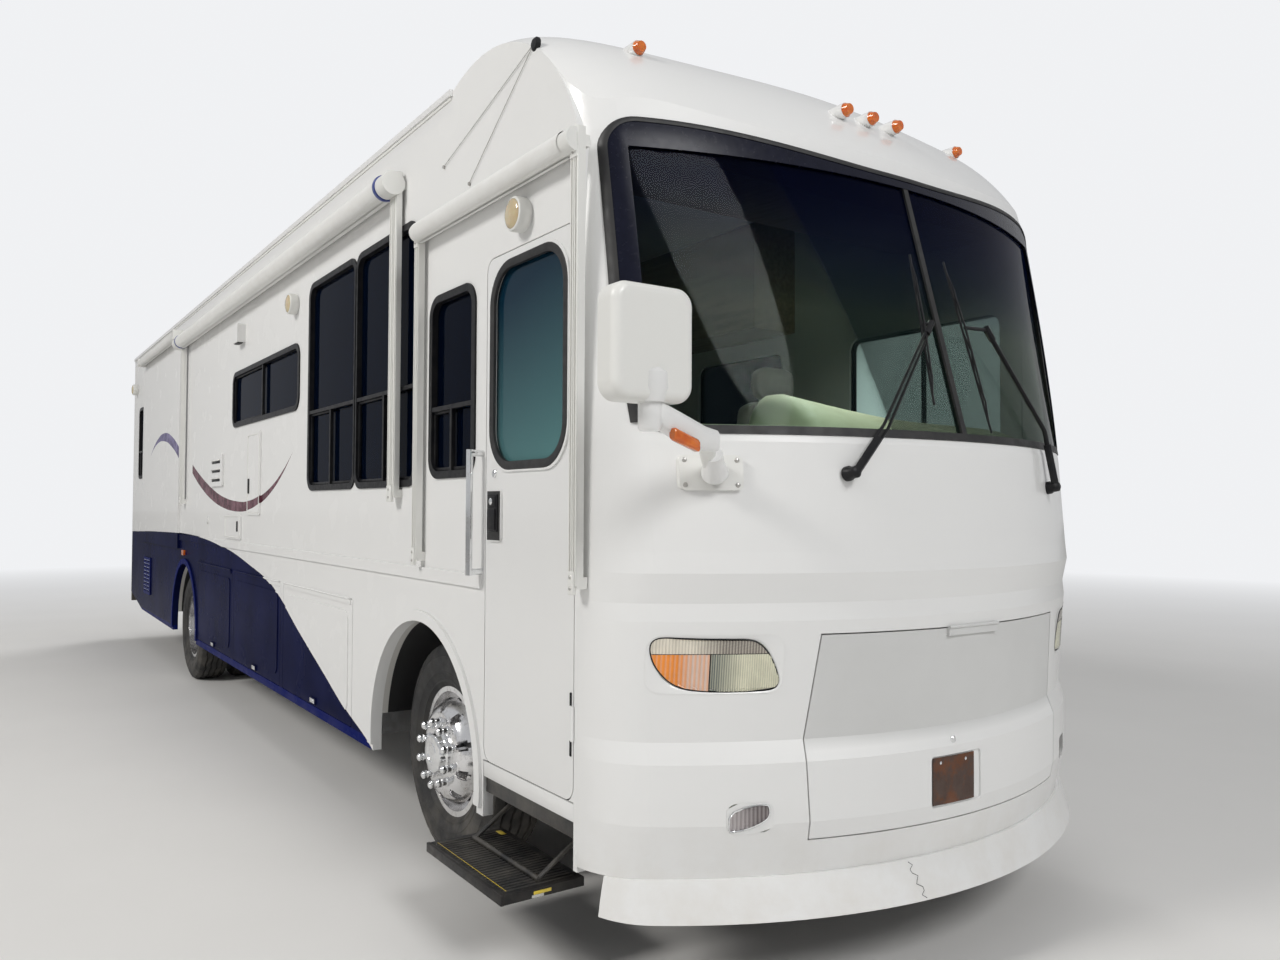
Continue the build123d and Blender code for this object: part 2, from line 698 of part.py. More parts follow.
# Basement bays: a pan, an inner wall and bulkheads of sheet on each side, between the arches
pan = 10.0
pan_low_z = bay_low_z - 20.0
pan_top_z = pan_low_z + pan + fit_gap
bay_inner_y = arch_inner_rear_y
sheets = [
    box(bay_rear_x, bay_front_x, -wall_in, -bay_inner_y, pan_low_z, pan_low_z + pan),
    box(bay_rear_x, bay_front_x, -bay_inner_y - pan, -bay_inner_y, pan_top_z, floor_under_z - fit_gap),
]
for share in bulkhead_shares:
    x = bay_rear_x + share * bay_length
    sheets.append(box(x, x + pan, -wall_in, -bay_inner_y - pan - fit_gap, pan_top_z,
                      floor_under_z - fit_gap))
keep("basement", together(mirrored(sheets)))

# Rear cap with rounded corners and the engine door opening
def rear_body(inset):
    """Solid behind the rear seam, corners rounded in plan and at the roof."""
    block = box(rear_face_x + inset, rear_seam_x, -half_width + inset, half_width - inset, rear_low_z,
                rail_z - inset)
    corner = max(rear_corner_radius - inset, 10.0)
    edges = block.edges().filter_by(Axis.Z).sort_by(Axis.X)[:2]
    return fillet(edges, corner)


rear_hollow_y = half_width - cap_thick
rear_mouth = box(rear_seam_x - 1.0, rear_seam_x + 5.0, -rear_hollow_y, rear_hollow_y, rear_low_z - 5.0,
                 rail_z - cap_thick)
rear_cap = rear_body(0.0) - (rear_body(cap_thick) + rear_mouth)
engine_opening_y = engine_door_half + panel_gap
rear_cap = rear_cap - box(rear_face_x - 50.0, rear_face_x + cap_thick + 5.0, -engine_opening_y,
                          engine_opening_y, engine_door_low_z - panel_gap, engine_door_top_z + panel_gap)
keep("rear_cap", rear_cap)

# Engine door: one panel with louvre slots, hinged along the top
engine_door_thick = 30.0
engine_slots = 6
slot_pitch = 70.0
slot_height = 30.0
slot_half = 520.0
engine_hinge_half = 600.0
engine_door = box(rear_face_x, rear_face_x + engine_door_thick, -engine_door_half, engine_door_half,
                  engine_door_low_z, engine_door_top_z)
for k in range(engine_slots):
    z = 1000.0 + slot_pitch * k
    engine_door = engine_door - box(rear_face_x - 5.0, rear_face_x + engine_door_thick + 5.0, -slot_half,
                                    slot_half, z, z + slot_height)
engine_hinge_x = rear_face_x - hinge_radius - fit_gap
engine_door = engine_door + rod_y(engine_hinge_x, -engine_hinge_half, engine_hinge_half, engine_hinge_z,
                                  hinge_radius)
engine_door = engine_door + box(engine_hinge_x, rear_face_x, -engine_hinge_half, engine_hinge_half,
                                engine_hinge_z - 30.0, engine_hinge_z - 2.0)
keep("engine_door", engine_door)

# Bay doors: framed panels hinged along the top, with a raised field and a latch
raised_out = 5.0
raised_border = 66.0
raised_corner = 60.0
leaf_inset = 30.0
leaf_height = 30.0
latch_out = 8.0
latch_half = 60.0
latch_low = 10.0
latch_high = 50.0
latch_corner = 10.0
for name, side, start, end in bay_doors:
    x0 = bay_rear_x + start * bay_length
    x1 = bay_rear_x + end * bay_length
    y_out = half_width
    y_in = half_width - bay_thick
    panel = side_plate(side, y_in, y_out, x0, x1, bay_low_z, bay_top_z, 18.0)
    raised = side_plate(side, y_out, y_out + raised_out, x0 + raised_border, x1 - raised_border,
                        bay_low_z + raised_border, bay_top_z - raised_border, raised_corner)
    leaf_x = (x0 + leaf_inset, x1 - leaf_inset)
    barrel = rod_x(*leaf_x, side * hinge_y, bay_hinge_z, hinge_radius)
    leaf = box(*leaf_x, side * y_out, side * hinge_y, bay_hinge_z - leaf_height, bay_hinge_z - 2.0)
    latch_x = (x0 + x1) / 2
    latch = side_plate(side, y_out, y_out + latch_out, latch_x - latch_half, latch_x + latch_half,
                       bay_low_z + latch_low, bay_low_z + latch_high, latch_corner)
    keep("bay_door_" + name, fused([panel, raised, barrel, leaf, latch]))

# Entry door with its window
door_window = (4530.0, 5110.0, 1810.0, 2600.0, 150.0)
door_border = 26.0
door = side_plate(-1, wall_in, half_width, door_rear_x, door_front_x, door_low_z, door_top_z, 55.0)
door = door - side_plate(-1, wall_in - 5.0, half_width + 5.0, *door_window)
door_ring = side_plate(-1, half_width, half_width + 8.0, door_window[0] - door_border,
                       door_window[1] + door_border, door_window[2] - door_border,
                       door_window[3] + door_border, door_window[4] + 15.0)
door_ring = door_ring - side_plate(-1, half_width - 5.0, half_width + 12.0, *door_window)
handle = side_plate(-1, half_width, half_width + 10.0, 4500.0, 4620.0, 1510.0, 1715.0, 25.0)
door_hinge = []
door_hinge_half = 60.0
for z in (900.0, 1640.0, 2480.0):
    hinge_z = (z - door_hinge_half, z + door_hinge_half)
    door_hinge.append(rod_z(door_hinge_x, -hinge_y, *hinge_z, hinge_radius))
    door_hinge.append(box(door_hinge_x - 30.0, door_hinge_x - 2.0, -half_width, -hinge_y, *hinge_z))
keep("entry_door", fused([door, door_ring, handle] + door_hinge))
glass = side_plate(-1, half_width - glass_in, half_width - glass_in + glass_thick,
                   door_window[0] + fit_gap, door_window[1] - fit_gap, door_window[2] + fit_gap,
                   door_window[3] - fit_gap, door_window[4])
keep("entry_door_glass", glass)


# Fixed side windows: black frames with thin bars, and dark glass
def window_parts(side, row):
    name, x0, x1, z0, z1, radius = row
    grow = frame_width - frame_lap
    ring = side_plate(side, half_width, half_width + frame_proud, x0 - grow, x1 + grow, z0 - grow, z1 + grow,
                      radius + grow)
    sleeve = side_plate(side, half_width - sleeve_depth, half_width, x0 + fit_gap, x1 - fit_gap,
                        z0 + fit_gap, z1 - fit_gap, radius)
    clear = (x0 + frame_lap, x1 - frame_lap, z0 + frame_lap, z1 - frame_lap, radius - frame_lap)
    frame = (ring + sleeve) - side_plate(side, half_width - sleeve_depth - 5.0, half_width + 20.0, *clear)
    bar_y = (side * (half_width - 12.0), side * (half_width + frame_proud - 2.0))
    half = bar_width / 2
    if x1 - x0 > z1 - z0:
        x_bar = x0 + (x1 - x0) * wide_bar_share
        frame = frame + box(x_bar - half, x_bar + half, *bar_y, z0 + 4.0, z1 - 4.0)
    else:
        x_bar = (x0 + x1) / 2
        z_bar = z0 + (z1 - z0) * tall_bar_share
        frame = frame + box(x0 + 4.0, x1 - 4.0, *bar_y, z_bar - half, z_bar + half)
        frame = frame + box(x_bar - half, x_bar + half, *bar_y, z0 + 4.0, z_bar)
    edge = frame_lap + fit_gap
    pane = side_plate(side, half_width - glass_in - glass_thick, half_width - glass_in, x0 + edge, x1 - edge,
                      z0 + edge, z1 - edge, radius - frame_lap)
    return frame, pane


frames = []
window_panes = []
for side, rows in ((-1, right_windows), (1, left_windows)):
    for row in rows:
        frame, pane = window_parts(side, row)
        frames.append(frame)
        window_panes.append(pane)
keep("window_frames", together(frames))
keep("window_glass", together(window_panes))

# Slide-out room: a box with an outer face flange, open towards the cabin
room_gap = 6.0
room_x0 = slide_rear_x + room_gap
room_x1 = slide_front_x - room_gap
room_z0 = slide_low_z + room_gap
room_z1 = slide_top_z - room_gap
room_skin = 40.0
room = box(room_x0, room_x1, -half_width, -half_width + slide_depth, room_z0, room_z1)
room = room - box(room_x0 + room_skin, room_x1 - room_skin, -half_width + room_skin, 0.0,
                  room_z0 + room_skin, room_z1 - room_skin)
face_plate = box(slide_rear_x - slide_flange, slide_front_x + slide_flange, -half_width - 22.0,
                 -half_width - 0.5, slide_low_z - slide_flange, slide_top_z + slide_flange)
room_join = box(room_x0, room_x1, -half_width - 1.0, -half_width, room_z0, room_z1)
keep("slide_room", fused([room, room_join, face_plate]))


# Awnings: roller tube, brackets and folded arms that stand clear of the window frames
arm_stand = 16.0


def awning(x0, x1, z, radius, arm_front, arm_rear, foot_front_z, foot_rear_z, arm_width):
    y = -half_width - 8.0 - radius
    arm_y = -half_width - arm_stand
    pieces = [rod_x(x0, x1, y, z, radius)]
    for x, foot_z in ((arm_front, foot_front_z), (arm_rear, foot_rear_z)):
        low = x - arm_width / 2
        high = x + arm_width / 2
        pieces.append(box(low, high, arm_y - 26.0, arm_y, foot_z, z + radius + 6.0))
        pieces.append(box(low, high, arm_y - 5.0, -half_width - fit_gap, foot_z, foot_z + 40.0))
        pieces.append(box(low, high, y, -half_width - fit_gap, z - 20.0, z + 20.0))
    return fused(pieces)


patio = awning(-2230.0, 3560.0, 3215.0, 58.0, 3500.0, -2100.0, 1690.0, 1670.0, 90.0)
door_awning = awning(3830.0, 5255.0, 2905.0, 42.0, 5232.0, 3812.0, 1370.0, 1400.0, 52.0)
topper_y = -half_width - 8.0 - 48.0
topper = fused([
    rod_x(slide_rear_x - 10.0, slide_front_x + 10.0, topper_y, 3330.0, 42.0),
    box(slide_rear_x - 40.0, slide_rear_x - 10.0, topper_y - 40.0, -half_width - fit_gap, 3285.0, 3375.0),
    box(slide_front_x + 10.0, slide_front_x + 40.0, topper_y - 40.0, -half_width - fit_gap, 3285.0, 3375.0),
])
keep("awnings", together([patio, door_awning, topper]))


# Roof units: two air conditioners, vents and marker pods
air_unit_x = [2300.0, -3000.0]
vent_x = [600.0, -1200.0, 3500.0]
air_half = 520.0
air_height = 250.0
vent_half = 200.0
vent_height = 95.0
units = []
for x in air_unit_x:
    profile = outline([(x - air_half, 0), (x + air_half, 0), (x + air_half - 80.0, air_height),
                       (x - air_half + 220.0, air_height), (x - air_half, air_height - 60.0)])
    unit = side_shape(-370.0, 370.0, Pos(0, roof_z(370.0) + fit_gap) * profile)
    units.append(unit - box(x - 600.0, x + 600.0, -380.0, 380.0, rail_z - 10.0, roof_z(0) + fit_gap))
for x in vent_x:
    units.append(box(x - vent_half, x + vent_half, -vent_half, vent_half, roof_z(0) + fit_gap,
                     roof_z(0) + vent_height))
keep("roof_units", together(units))

# Small fittings on the side walls: vents, hatches, box, lamps
fitting_rows = [
    ("fridge_vent", -1, -890.0, -420.0, 1810.0, 2080.0, 18.0, 15.0),
    ("tall_hatch", -1, 420.0, 800.0, 1580.0, 2190.0, 10.0, 25.0),
    ("lock_box", -1, -310.0, 230.0, 1390.0, 1580.0, 12.0, 20.0),
    ("vent_hood", -1, 90.0, 260.0, 2900.0, 3040.0, 60.0, 12.0),
    ("round_fitting", -1, -1060.0, -1000.0, 1490.0, 1550.0, 10.0, 28.0),
    ("left_vent", 1, -380.0, 80.0, 1450.0, 2050.0, 16.0, 15.0),
    ("left_hatch", 1, -2300.0, -1820.0, 1500.0, 1800.0, 10.0, 20.0),
    ("left_service", 1, 2000.0, 2400.0, 1480.0, 1700.0, 10.0, 20.0),
]
# Louvre slots cut in the face of a hatch
louvre_depth = 7.0


def louvred(shape, side, proud, columns, first_z, count, pitch, height):
    """Cut rows of slots between the given columns of x."""
    face_y = half_width + proud
    for x0, x1 in columns:
        for k in range(count):
            z = first_z + pitch * k
            shape = shape - box(x0, x1, side * (face_y - louvre_depth), side * (face_y + 5.0), z, z + height)
    return shape


fittings = []
for name, side, x0, x1, z0, z1, proud, radius in fitting_rows:
    fitting = side_plate(side, half_width + fit_gap, half_width + proud, x0, x1, z0, z1, radius)
    if name == "fridge_vent":
        fitting = louvred(fitting, side, proud, [(x0 + 70.0, x1 - 70.0)], z0 + 40.0, 3, 75.0, 22.0)
    fittings.append(fitting)
round_lamps = [("front_flood", 1660.0, 2950.0), ("rear_flood", -5390.0, 3080.0), ("porch", 4790.0, 2760.0)]
for name, x, z in round_lamps:
    fittings.append(rod_y(x, -half_width - fit_gap, -half_width - 52.0, z, 62.0))
service_rear_x = -4560.0
service_proud = 12.0
service_columns = [
    (service_rear_x + 40.0, service_rear_x + 210.0),
    (service_rear_x + 250.0, service_rear_x + 420.0),
]
for side in (-1, 1):
    hatch = side_plate(side, half_width + fit_gap, half_width + service_proud, service_rear_x,
                       service_rear_x + 460.0, 640.0, 1060.0, 20.0)
    fittings.append(louvred(hatch, side, service_proud, service_columns, 675.0, 9, 42.0, 14.0))
keep("wall_fittings", together(fittings))

# Amber lamps: five on the dome's pods and one low on each side
markers = []
for side in (-1, 1):
    markers.append(side_plate(side, half_width + fit_gap, half_width + 18.0, -2160.0, -2060.0, 1175.0,
                              1225.0, 15.0))
lens_length = 22.0
for x, y, z in dome_lamps:
    lens_plane = Plane(origin=(x + fit_gap, y, z), z_dir=(1, 0, 0))
    markers.append(extrude(lens_plane * Circle(pod_radius - 2.0), amount=lens_length, taper=20.0))
keep("marker_lamps", together(markers))

# Tail lamps on the rear cap, the same on both sides: y and z of the corners
tail_rows = [
    (930.0, 1130.0, 900.0, 1060.0),
    (930.0, 1130.0, 1080.0, 1240.0),
    (1050.0, 1130.0, 3280.0, 3330.0),
]
tails = [box(rear_face_x - 14.0, rear_face_x - fit_gap, *row) for row in tail_rows]
keep("tail_lamps", together(mirrored(tails)))


# Mirror on the right side: base plate, arm and head. The left one is missing, as its lamp is
def bar_between(start, end, radius):
    """Round bar from one point to another."""
    way = end - start
    plane = Plane(origin=tuple(start), z_dir=tuple(way))
    return extrude(plane * Circle(radius), amount=way.length)


mirror_plate = (-1100.0, -915.0, 1705.0, 1822.0)
mirror_plate_thick = 14.0
mirror_head_x = 5750.0
mirror_outer_y = -1540.0
mirror_inner_y = -1250.0
mirror_low_z = 1955.0
mirror_high_z = 2300.0
mirror_depth = 90.0
mirror_arm_points = [(5575.0, -1010.0, 1765.0), (5690.0, -1130.0, 1850.0), (5750.0, -1370.0, 1915.0),
                     (5750.0, -1390.0, 1975.0)]
mirror_arm_radius = 26.0
y0, y1, z0, z1 = mirror_plate
base_shell = cap_body(-fit_gap - mirror_plate_thick, *cowl_zone) - cap_body(-fit_gap, *cowl_zone)
mirror_parts = [base_shell & face_window(y0, y1, z0, z1, 20.0)]
for start, end in zip(mirror_arm_points, mirror_arm_points[1:]):
    arm = bar_between(Vector(*start), Vector(*end), mirror_arm_radius)
    mirror_parts.append(arm - cap_body(-fit_gap, *cowl_zone))
    mirror_parts.append(Pos(*end) * Sphere(mirror_arm_radius))
head = box(mirror_head_x - mirror_depth / 2, mirror_head_x + mirror_depth / 2, mirror_outer_y,
           mirror_inner_y, mirror_low_z, mirror_high_z)
head = fillet(head.edges().filter_by(Axis.X), 55.0)
head = fillet(head.faces().sort_by(Axis.X)[-1].edges(), 30.0)
pane_border = 20.0
pane_depth = 10.0
pane_back = mirror_head_x - mirror_depth / 2
pane_recess = box(pane_back - 1.0, pane_back + pane_depth, mirror_outer_y + pane_border,
                  mirror_inner_y - pane_border, mirror_low_z + pane_border, mirror_high_z - pane_border)
keep("mirrors", fused([head - pane_recess] + mirror_parts))
pane_edge = pane_border + fit_gap
keep("mirror_glass", box(pane_back + 1.0, pane_back + pane_depth - fit_gap, mirror_outer_y + pane_edge,
                         mirror_inner_y - pane_edge, mirror_low_z + pane_edge, mirror_high_z - pane_edge))


# Wipers: a pivot on the cap, a bent arm and a blade that lies along the glass
wiper_stand = 34.0
pivot_radius = 20.0


def off_face(place, stand):
    """Point in front of the cap's face, from y and z."""
    y, z = place
    return Vector(surface_x(y, z) + stand, y, z)


def wiper(pivot, bend, wrist, blade_high, blade_low):
    """Wiper from the y and z of its pivot, the arm's bend and end, and the blade's two ends."""
    post_start = off_face(pivot, -20.0)
    post_end = off_face(pivot, wiper_stand + 16.0)
    post = bar_between(post_start, post_end, pivot_radius) - cap_body(-fit_gap, *cowl_zone)
    arm_low = bar_between(off_face(pivot, wiper_stand + 4.0), off_face(bend, wiper_stand + 6.0), 10.0)
    arm_high = bar_between(off_face(bend, wiper_stand + 6.0), off_face(wrist, wiper_stand + 14.0), 8.0)
    blade = bar_between(off_face(blade_low, wiper_stand), off_face(blade_high, wiper_stand), 9.0)
    blade_share = (wrist[1] - blade_low[1]) / (blade_high[1] - blade_low[1])
    blade_y = blade_low[0] + (blade_high[0] - blade_low[0]) * blade_share
    link = bar_between(off_face(wrist, wiper_stand + 14.0), off_face((blade_y, wrist[1]), wiper_stand), 8.0)
    return fused([post, arm_low, arm_high, Pos(*off_face(bend, wiper_stand + 6.0)) * Sphere(10.0), blade,
                  link])


right_wiper = wiper((-560.0, 1765.0), (-420.0, 1930.0), (-105.0, 2330.0), (-110.0, 2610.0), (-170.0, 2020.0))
left_wiper = wiper((650.0, 1735.0), (600.0, 1970.0), (255.0, 2350.0), (85.0, 2610.0), (125.0, 1930.0))
keep("wipers", together([right_wiper, left_wiper]))

# Grab handle and step parts
grab_low = 1370.0
grab_high = 1880.0
grab_x = 4440.0
grab = [
    rod_z(grab_x, -half_width - 60.0, grab_low, grab_high, 14.0),
    rod_y(grab_x, -half_width - fit_gap, -half_width - 60.0, grab_low + 14.0, 14.0),
    rod_y(grab_x, -half_width - fit_gap, -half_width - 60.0, grab_high - 14.0, 14.0),
]
keep("grab_handle", fused(grab))

step_x0 = step_rear_x + 90.0
step_x1 = step_front_x - 60.0
frame_bar = [
    box(step_x0 - 30.0, step_x1 + 30.0, -1060.0, -760.0, 540.0, well_floor_z - plate - fit_gap),
]
for x in (step_x0 - 30.0, step_x1 + 18.0):
    frame_bar.append(box(x, x + 12.0, -1110.0, -1000.0, step_pivot_z - 40.0, 560.0))
frame_bar.append(box(door_rear_x, door_front_x, -half_width + 12.0, -half_width + 30.0, 500.0,
                     door_low_z - 12.0))
frame_bar.append(box(door_rear_x, door_front_x, -half_width + 12.0, -760.0, 590.0,
                     well_floor_z - plate - fit_gap))
keep("step_frame", fused(frame_bar))

step_end_y = -(step_pivot_y + step_arm_out)
step_end_z = step_pivot_z - step_arm_drop
arms = []
for x in (step_x0 - 14.0, step_x1 + 4.0):
    arm = bar_between(Vector(x + 5.0, -step_pivot_y, step_pivot_z), Vector(x + 5.0, step_end_y, step_end_z),
                      9.0)
    arms.append(arm)
arms.append(rod_x(step_x0 - 17.0, step_x1 + 17.0, -step_pivot_y, step_pivot_z, 12.0))
arms.append(rod_x(step_x0 - 17.0, step_x1 + 17.0, step_end_y, step_end_z, 10.0))
keep("step_arms", fused(arms))

tread_top_z = step_end_z - 10.0 - fit_gap
keep("step_tread", box(step_rear_x, step_front_x, step_end_y - 170.0, step_end_y + 160.0,
                       tread_top_z - tread_thick, tread_top_z))

# Steering wheel on its column
wheel_centre = Vector(4860.0, 620.0, 1830.0)
column_axis = Vector(-0.82, 0, 0.57).normalized()
wheel_plane = Plane(origin=tuple(wheel_centre), x_dir=(0, 1, 0), z_dir=tuple(column_axis))
wheel_radius = 215.0
grip_radius = 16.0
grip = Pos(wheel_radius, 0) * RegularPolygon(grip_radius, 8)
rim_ring = wheel_plane * Rot(90, 0, 0) * revolve(Plane.XY * grip, Axis.Y)
spoke = wheel_plane * Box(2 * wheel_radius - 30.0, 40.0, 16.0)
boss = wheel_plane * Cylinder(60.0, 50.0)
keep("steering_wheel", rim_ring + spoke + boss)

# Dashboard, seats and cabinets seen through the glass
dash_profile = [
    (4960.0, floor_top_z + fit_gap), (5480.0, floor_top_z + fit_gap), (5480.0, 1800.0), (5200.0, 1870.0),
    (5060.0, 1865.0), (4980.0, 1780.0),
]
dash = side_shape(-1180.0, 1180.0, outline(dash_profile)) & cap_body(60.0, 1000.0, 2000.0)
dash = dash - box(4300.0, door_front_x + 40.0, -half_width, -660.0, 1000.0, 2000.0)
# Hood over the gauges in front of the driver
hood_profile = outline([(5020.0, 1840.0), (5330.0, 1830.0), (5290.0, 1925.0), (5060.0, 1935.0)])
dash = dash + side_shape(380.0, 860.0, hood_profile)
column_start = wheel_centre - column_axis * (25.0 + fit_gap)
dash = dash + bar_between(column_start, wheel_centre - column_axis * 330.0, 28.0)
keep("dashboard", dash)
# Each seat's pedestal, cushion, back and headrest: x from and to the seat's middle, half width, z
seat_rows = [
    (-60.0, 60.0, 130.0, floor_top_z + fit_gap, 1480.0),
    (-260.0, 260.0, 260.0, 1480.0, 1640.0),
    (-330.0, -190.0, 250.0, 1560.0, 2230.0),
    (-320.0, -210.0, 140.0, 2220.0, 2420.0),
]
seats = []
for x, y in ((4250.0, -330.0), (4350.0, 620.0)):
    blocks = [box(x + x0, x + x1, y - half, y + half, z0, z1) for x0, x1, half, z0, z1 in seat_rows]
    seats.append(fused(blocks))
keep("cab_seats", together(seats))
cabinet_y = wall_in - 1.0
low_z = floor_top_z + fit_gap
high_z = wall_top_z - fit_gap
cabinets = [
    box(-1300.0, 1800.0, -cabinet_y, -cabinet_y + 600.0, low_z, 2100.0),
    box(-1300.0, 3600.0, -cabinet_y, -cabinet_y + 340.0, 3050.0, high_z),
    box(-1300.0, 3600.0, cabinet_y - 340.0, cabinet_y, 2750.0, high_z),
    box(700.0, 2480.0, cabinet_y - 800.0, cabinet_y, low_z, 1640.0),
    box(-1700.0, -1640.0, -cabinet_y + 620.0, cabinet_y, low_z, high_z),
]
# Cabinets over the windshield, fitted under the dome
over_profile = outline([(4620.0, 3000.0), (5180.0, 2960.0), (5180.0, 3640.0), (4620.0, 3640.0)])
over_cabinet = side_shape(-1080.0, 1080.0, over_profile) & dome_body(cap_thick + fit_gap)
cabinets.append(over_cabinet)
keep("cabinets", together(cabinets))

# Engine, generator set
x0, x1, half, z0, z1 = engine_box
keep("engine_block", box(x0, x1, -half, half, z0, z1))
x0, x1, half, z0, z1 = generator_box
keep("generator", box(x0, x1, -half, half, z0, z1) & cap_body(cap_thick + 20.0, 450.0, 1300.0))

# Rear ladder, bumper and receiver
ladder_x = rear_face_x - 60.0
ladder_y = (-860.0, -1160.0)
ladder_foot_z = 1350.0
rungs = 7
rung_pitch = 300.0
ladder = []
for y in ladder_y:
    ladder.append(rod_z(ladder_x, y, ladder_foot_z, rail_z - 20.0, 13.0))
    for z in (1370.0, 2400.0, 3430.0):
        ladder.append(rod_x(ladder_x, rear_face_x - fit_gap, y, z, 10.0))
for k in range(rungs):
    ladder.append(rod_y(ladder_x, *ladder_y, ladder_foot_z + 100.0 + rung_pitch * k, 12.0))
keep("rear_ladder", fused(ladder))
outer = receiver_bore / 2 + receiver_wall
receiver_x1 = tail_x + receiver_length
receiver = box(tail_x, receiver_x1 + 100.0, -outer, outer, receiver_z - outer, receiver_z + outer)
receiver = receiver - box(tail_x - 1.0, receiver_x1, -receiver_bore / 2, receiver_bore / 2,
                          receiver_z - receiver_bore / 2, receiver_z + receiver_bore / 2)
receiver = receiver - rod_y(tail_x + receiver_pin_from_mouth, -outer - 1.0, outer + 1.0, receiver_z,
                            receiver_pin_radius)
cross_tube = box(receiver_x1 + 20.0, receiver_x1 + 100.0, -rail_y - 40.0, rail_y + 40.0, receiver_z - 40.0,
                 receiver_z + 40.0)
hangers = [
    box(receiver_x1 + 20.0, receiver_x1 + 100.0, side * (rail_y - 30.0), side * (rail_y + 30.0), receiver_z,
        rail_low_z - fit_gap)
    for side in (-1, 1)
]
bumper_low_z = 450.0
bumper_high_z = 620.0
bumper = box(rear_face_x - 70.0, rear_face_x - 10.0, -half_width + 25.0, half_width - 25.0, bumper_low_z,
             bumper_high_z)
stays = [
    box(rear_face_x - 20.0, receiver_x1 + 60.0, side * (rail_y - 20.0), side * (rail_y + 20.0), 480.0, 540.0)
    for side in (-1, 1)
]
keep("rear_bumper", fused([receiver, cross_tube, bumper] + hangers + stays))


# Axles with their air springs
beam_z = wheel_z - 60.0
kingpin_bore = 22.0
bore_gap = 0.05
spindle_radius = 38.0
axle_tube_radius = 62.0
front_axle = [
    box(front_axle_x - 45.0, front_axle_x + 45.0, -kingpin_y + 70.0, kingpin_y - 70.0, beam_z - 50.0,
        beam_z + 50.0),
]
for side in (-1, 1):
    eye = rod_z(front_axle_x, side * kingpin_y, wheel_z - 62.0, wheel_z + 62.0, 40.0)
    eye = eye - rod_z(front_axle_x, side * kingpin_y, wheel_z - 70.0, wheel_z + 70.0, kingpin_bore)
    front_axle.append(eye)
    front_axle.append(box(front_axle_x - 35.0, front_axle_x + 35.0, side * (kingpin_y - 100.0),
                          side * (kingpin_y - 30.0), wheel_z - 55.0, wheel_z + 55.0))
    front_axle.append(rod_z(front_axle_x, side * rail_y, beam_z + 40.0, rail_low_z - fit_gap, 75.0))
keep("front_axle", fused(front_axle))
rear_axle = [
    rod_y(rear_axle_x, -rear_outer_y + axle_short, rear_outer_y - axle_short, wheel_z, axle_tube_radius),
    Pos(rear_axle_x, 0, wheel_z) * Cylinder(190.0, 260.0, rotation=(90, 0, 0)),
]
for side in (-1, 1):
    for dx in (-330.0, 330.0):
        rear_axle.append(box(rear_axle_x + min(dx, 0.0) - 40.0, rear_axle_x + max(dx, 0.0) + 40.0,
                             side * (rail_y - 50.0), side * (rail_y + 50.0), wheel_z - 90.0, wheel_z - 20.0))
        rear_axle.append(rod_z(rear_axle_x + dx, side * rail_y, wheel_z - 30.0, rail_low_z - fit_gap, 85.0))
keep("rear_axle", fused(rear_axle))


# Steering knuckles: yoke, kingpin and spindle
yoke_half = 34.0
yoke_mouth = 63.0
yoke_reach = 100.0
kingpin_radius = kingpin_bore - bore_gap


def knuckle(side):
    """Yoke with its ears above and below the axle's eye, a web outside it, the kingpin and the spindle."""
    x0 = front_axle_x - yoke_half
    x1 = front_axle_x + yoke_half
    ear_y = (side * (kingpin_y - yoke_half), side * (kingpin_y + 50.0))
    web_y = (side * (kingpin_y + 42.0), side * (kingpin_y + 66.0))
    return fused([
        rod_z(front_axle_x, side * kingpin_y, wheel_z - yoke_reach, wheel_z + yoke_reach, kingpin_radius),
        box(x0, x1, *ear_y, wheel_z + yoke_mouth, wheel_z + yoke_reach),
        box(x0, x1, *ear_y, wheel_z - yoke_reach, wheel_z - yoke_mouth),
        box(x0, x1, *web_y, wheel_z - yoke_reach, wheel_z + yoke_reach),
        rod_y(front_axle_x, side * (kingpin_y + 50.0), side * (front_wheel_y + spindle_reach), wheel_z,
              spindle_radius),
    ])


keep("knuckle_right", knuckle(-1))
keep("knuckle_left", knuckle(1))


# Tyres and rims, turned about their own axles
def ring_of(points, x, y):
    """Turn a closed outline of (radius, width) points about an axle along Y."""
    face = outline([(radius, width) for radius, width in points])
    turned = revolve(Plane.XY * face, Axis.Y)
    return Pos(x, y, wheel_z) * turned


tyre_points = [
    (rim_seat_radius + fit_gap, -bead_half_width),
    (rim_seat_radius + fit_gap, bead_half_width),
    (bulge_radius, tyre_half_width),
    (tyre_radius - 10.0, tread_half_width),
    (tyre_radius, tread_half_width - 20.0),
    (tyre_radius, -tread_half_width + 20.0),
    (tyre_radius - 10.0, -tread_half_width),
    (bulge_radius, -tyre_half_width),
]


def tyre(x, y):
    return ring_of(tyre_points, x, y)


# Rim: a barrel with two flanges, and a dished disc with hand holes
barrel_thick = 24.0
barrel_points = [
    (rim_lip_radius - barrel_thick, -rim_half_width),
    (rim_lip_radius, -rim_half_width),
    (rim_seat_radius, -bead_half_width - 4.0),
    (rim_seat_radius, bead_half_width + 4.0),
    (rim_lip_radius, rim_half_width),
    (rim_lip_radius - barrel_thick, rim_half_width),
]
disc_thick = 16.0
disc_radius = rim_lip_radius - barrel_thick + 1.0
flange_radius = 165.0
dish_radius = 240.0
hand_hole_circle = 208.0
hand_hole_radius = 27.0
hand_holes = 10


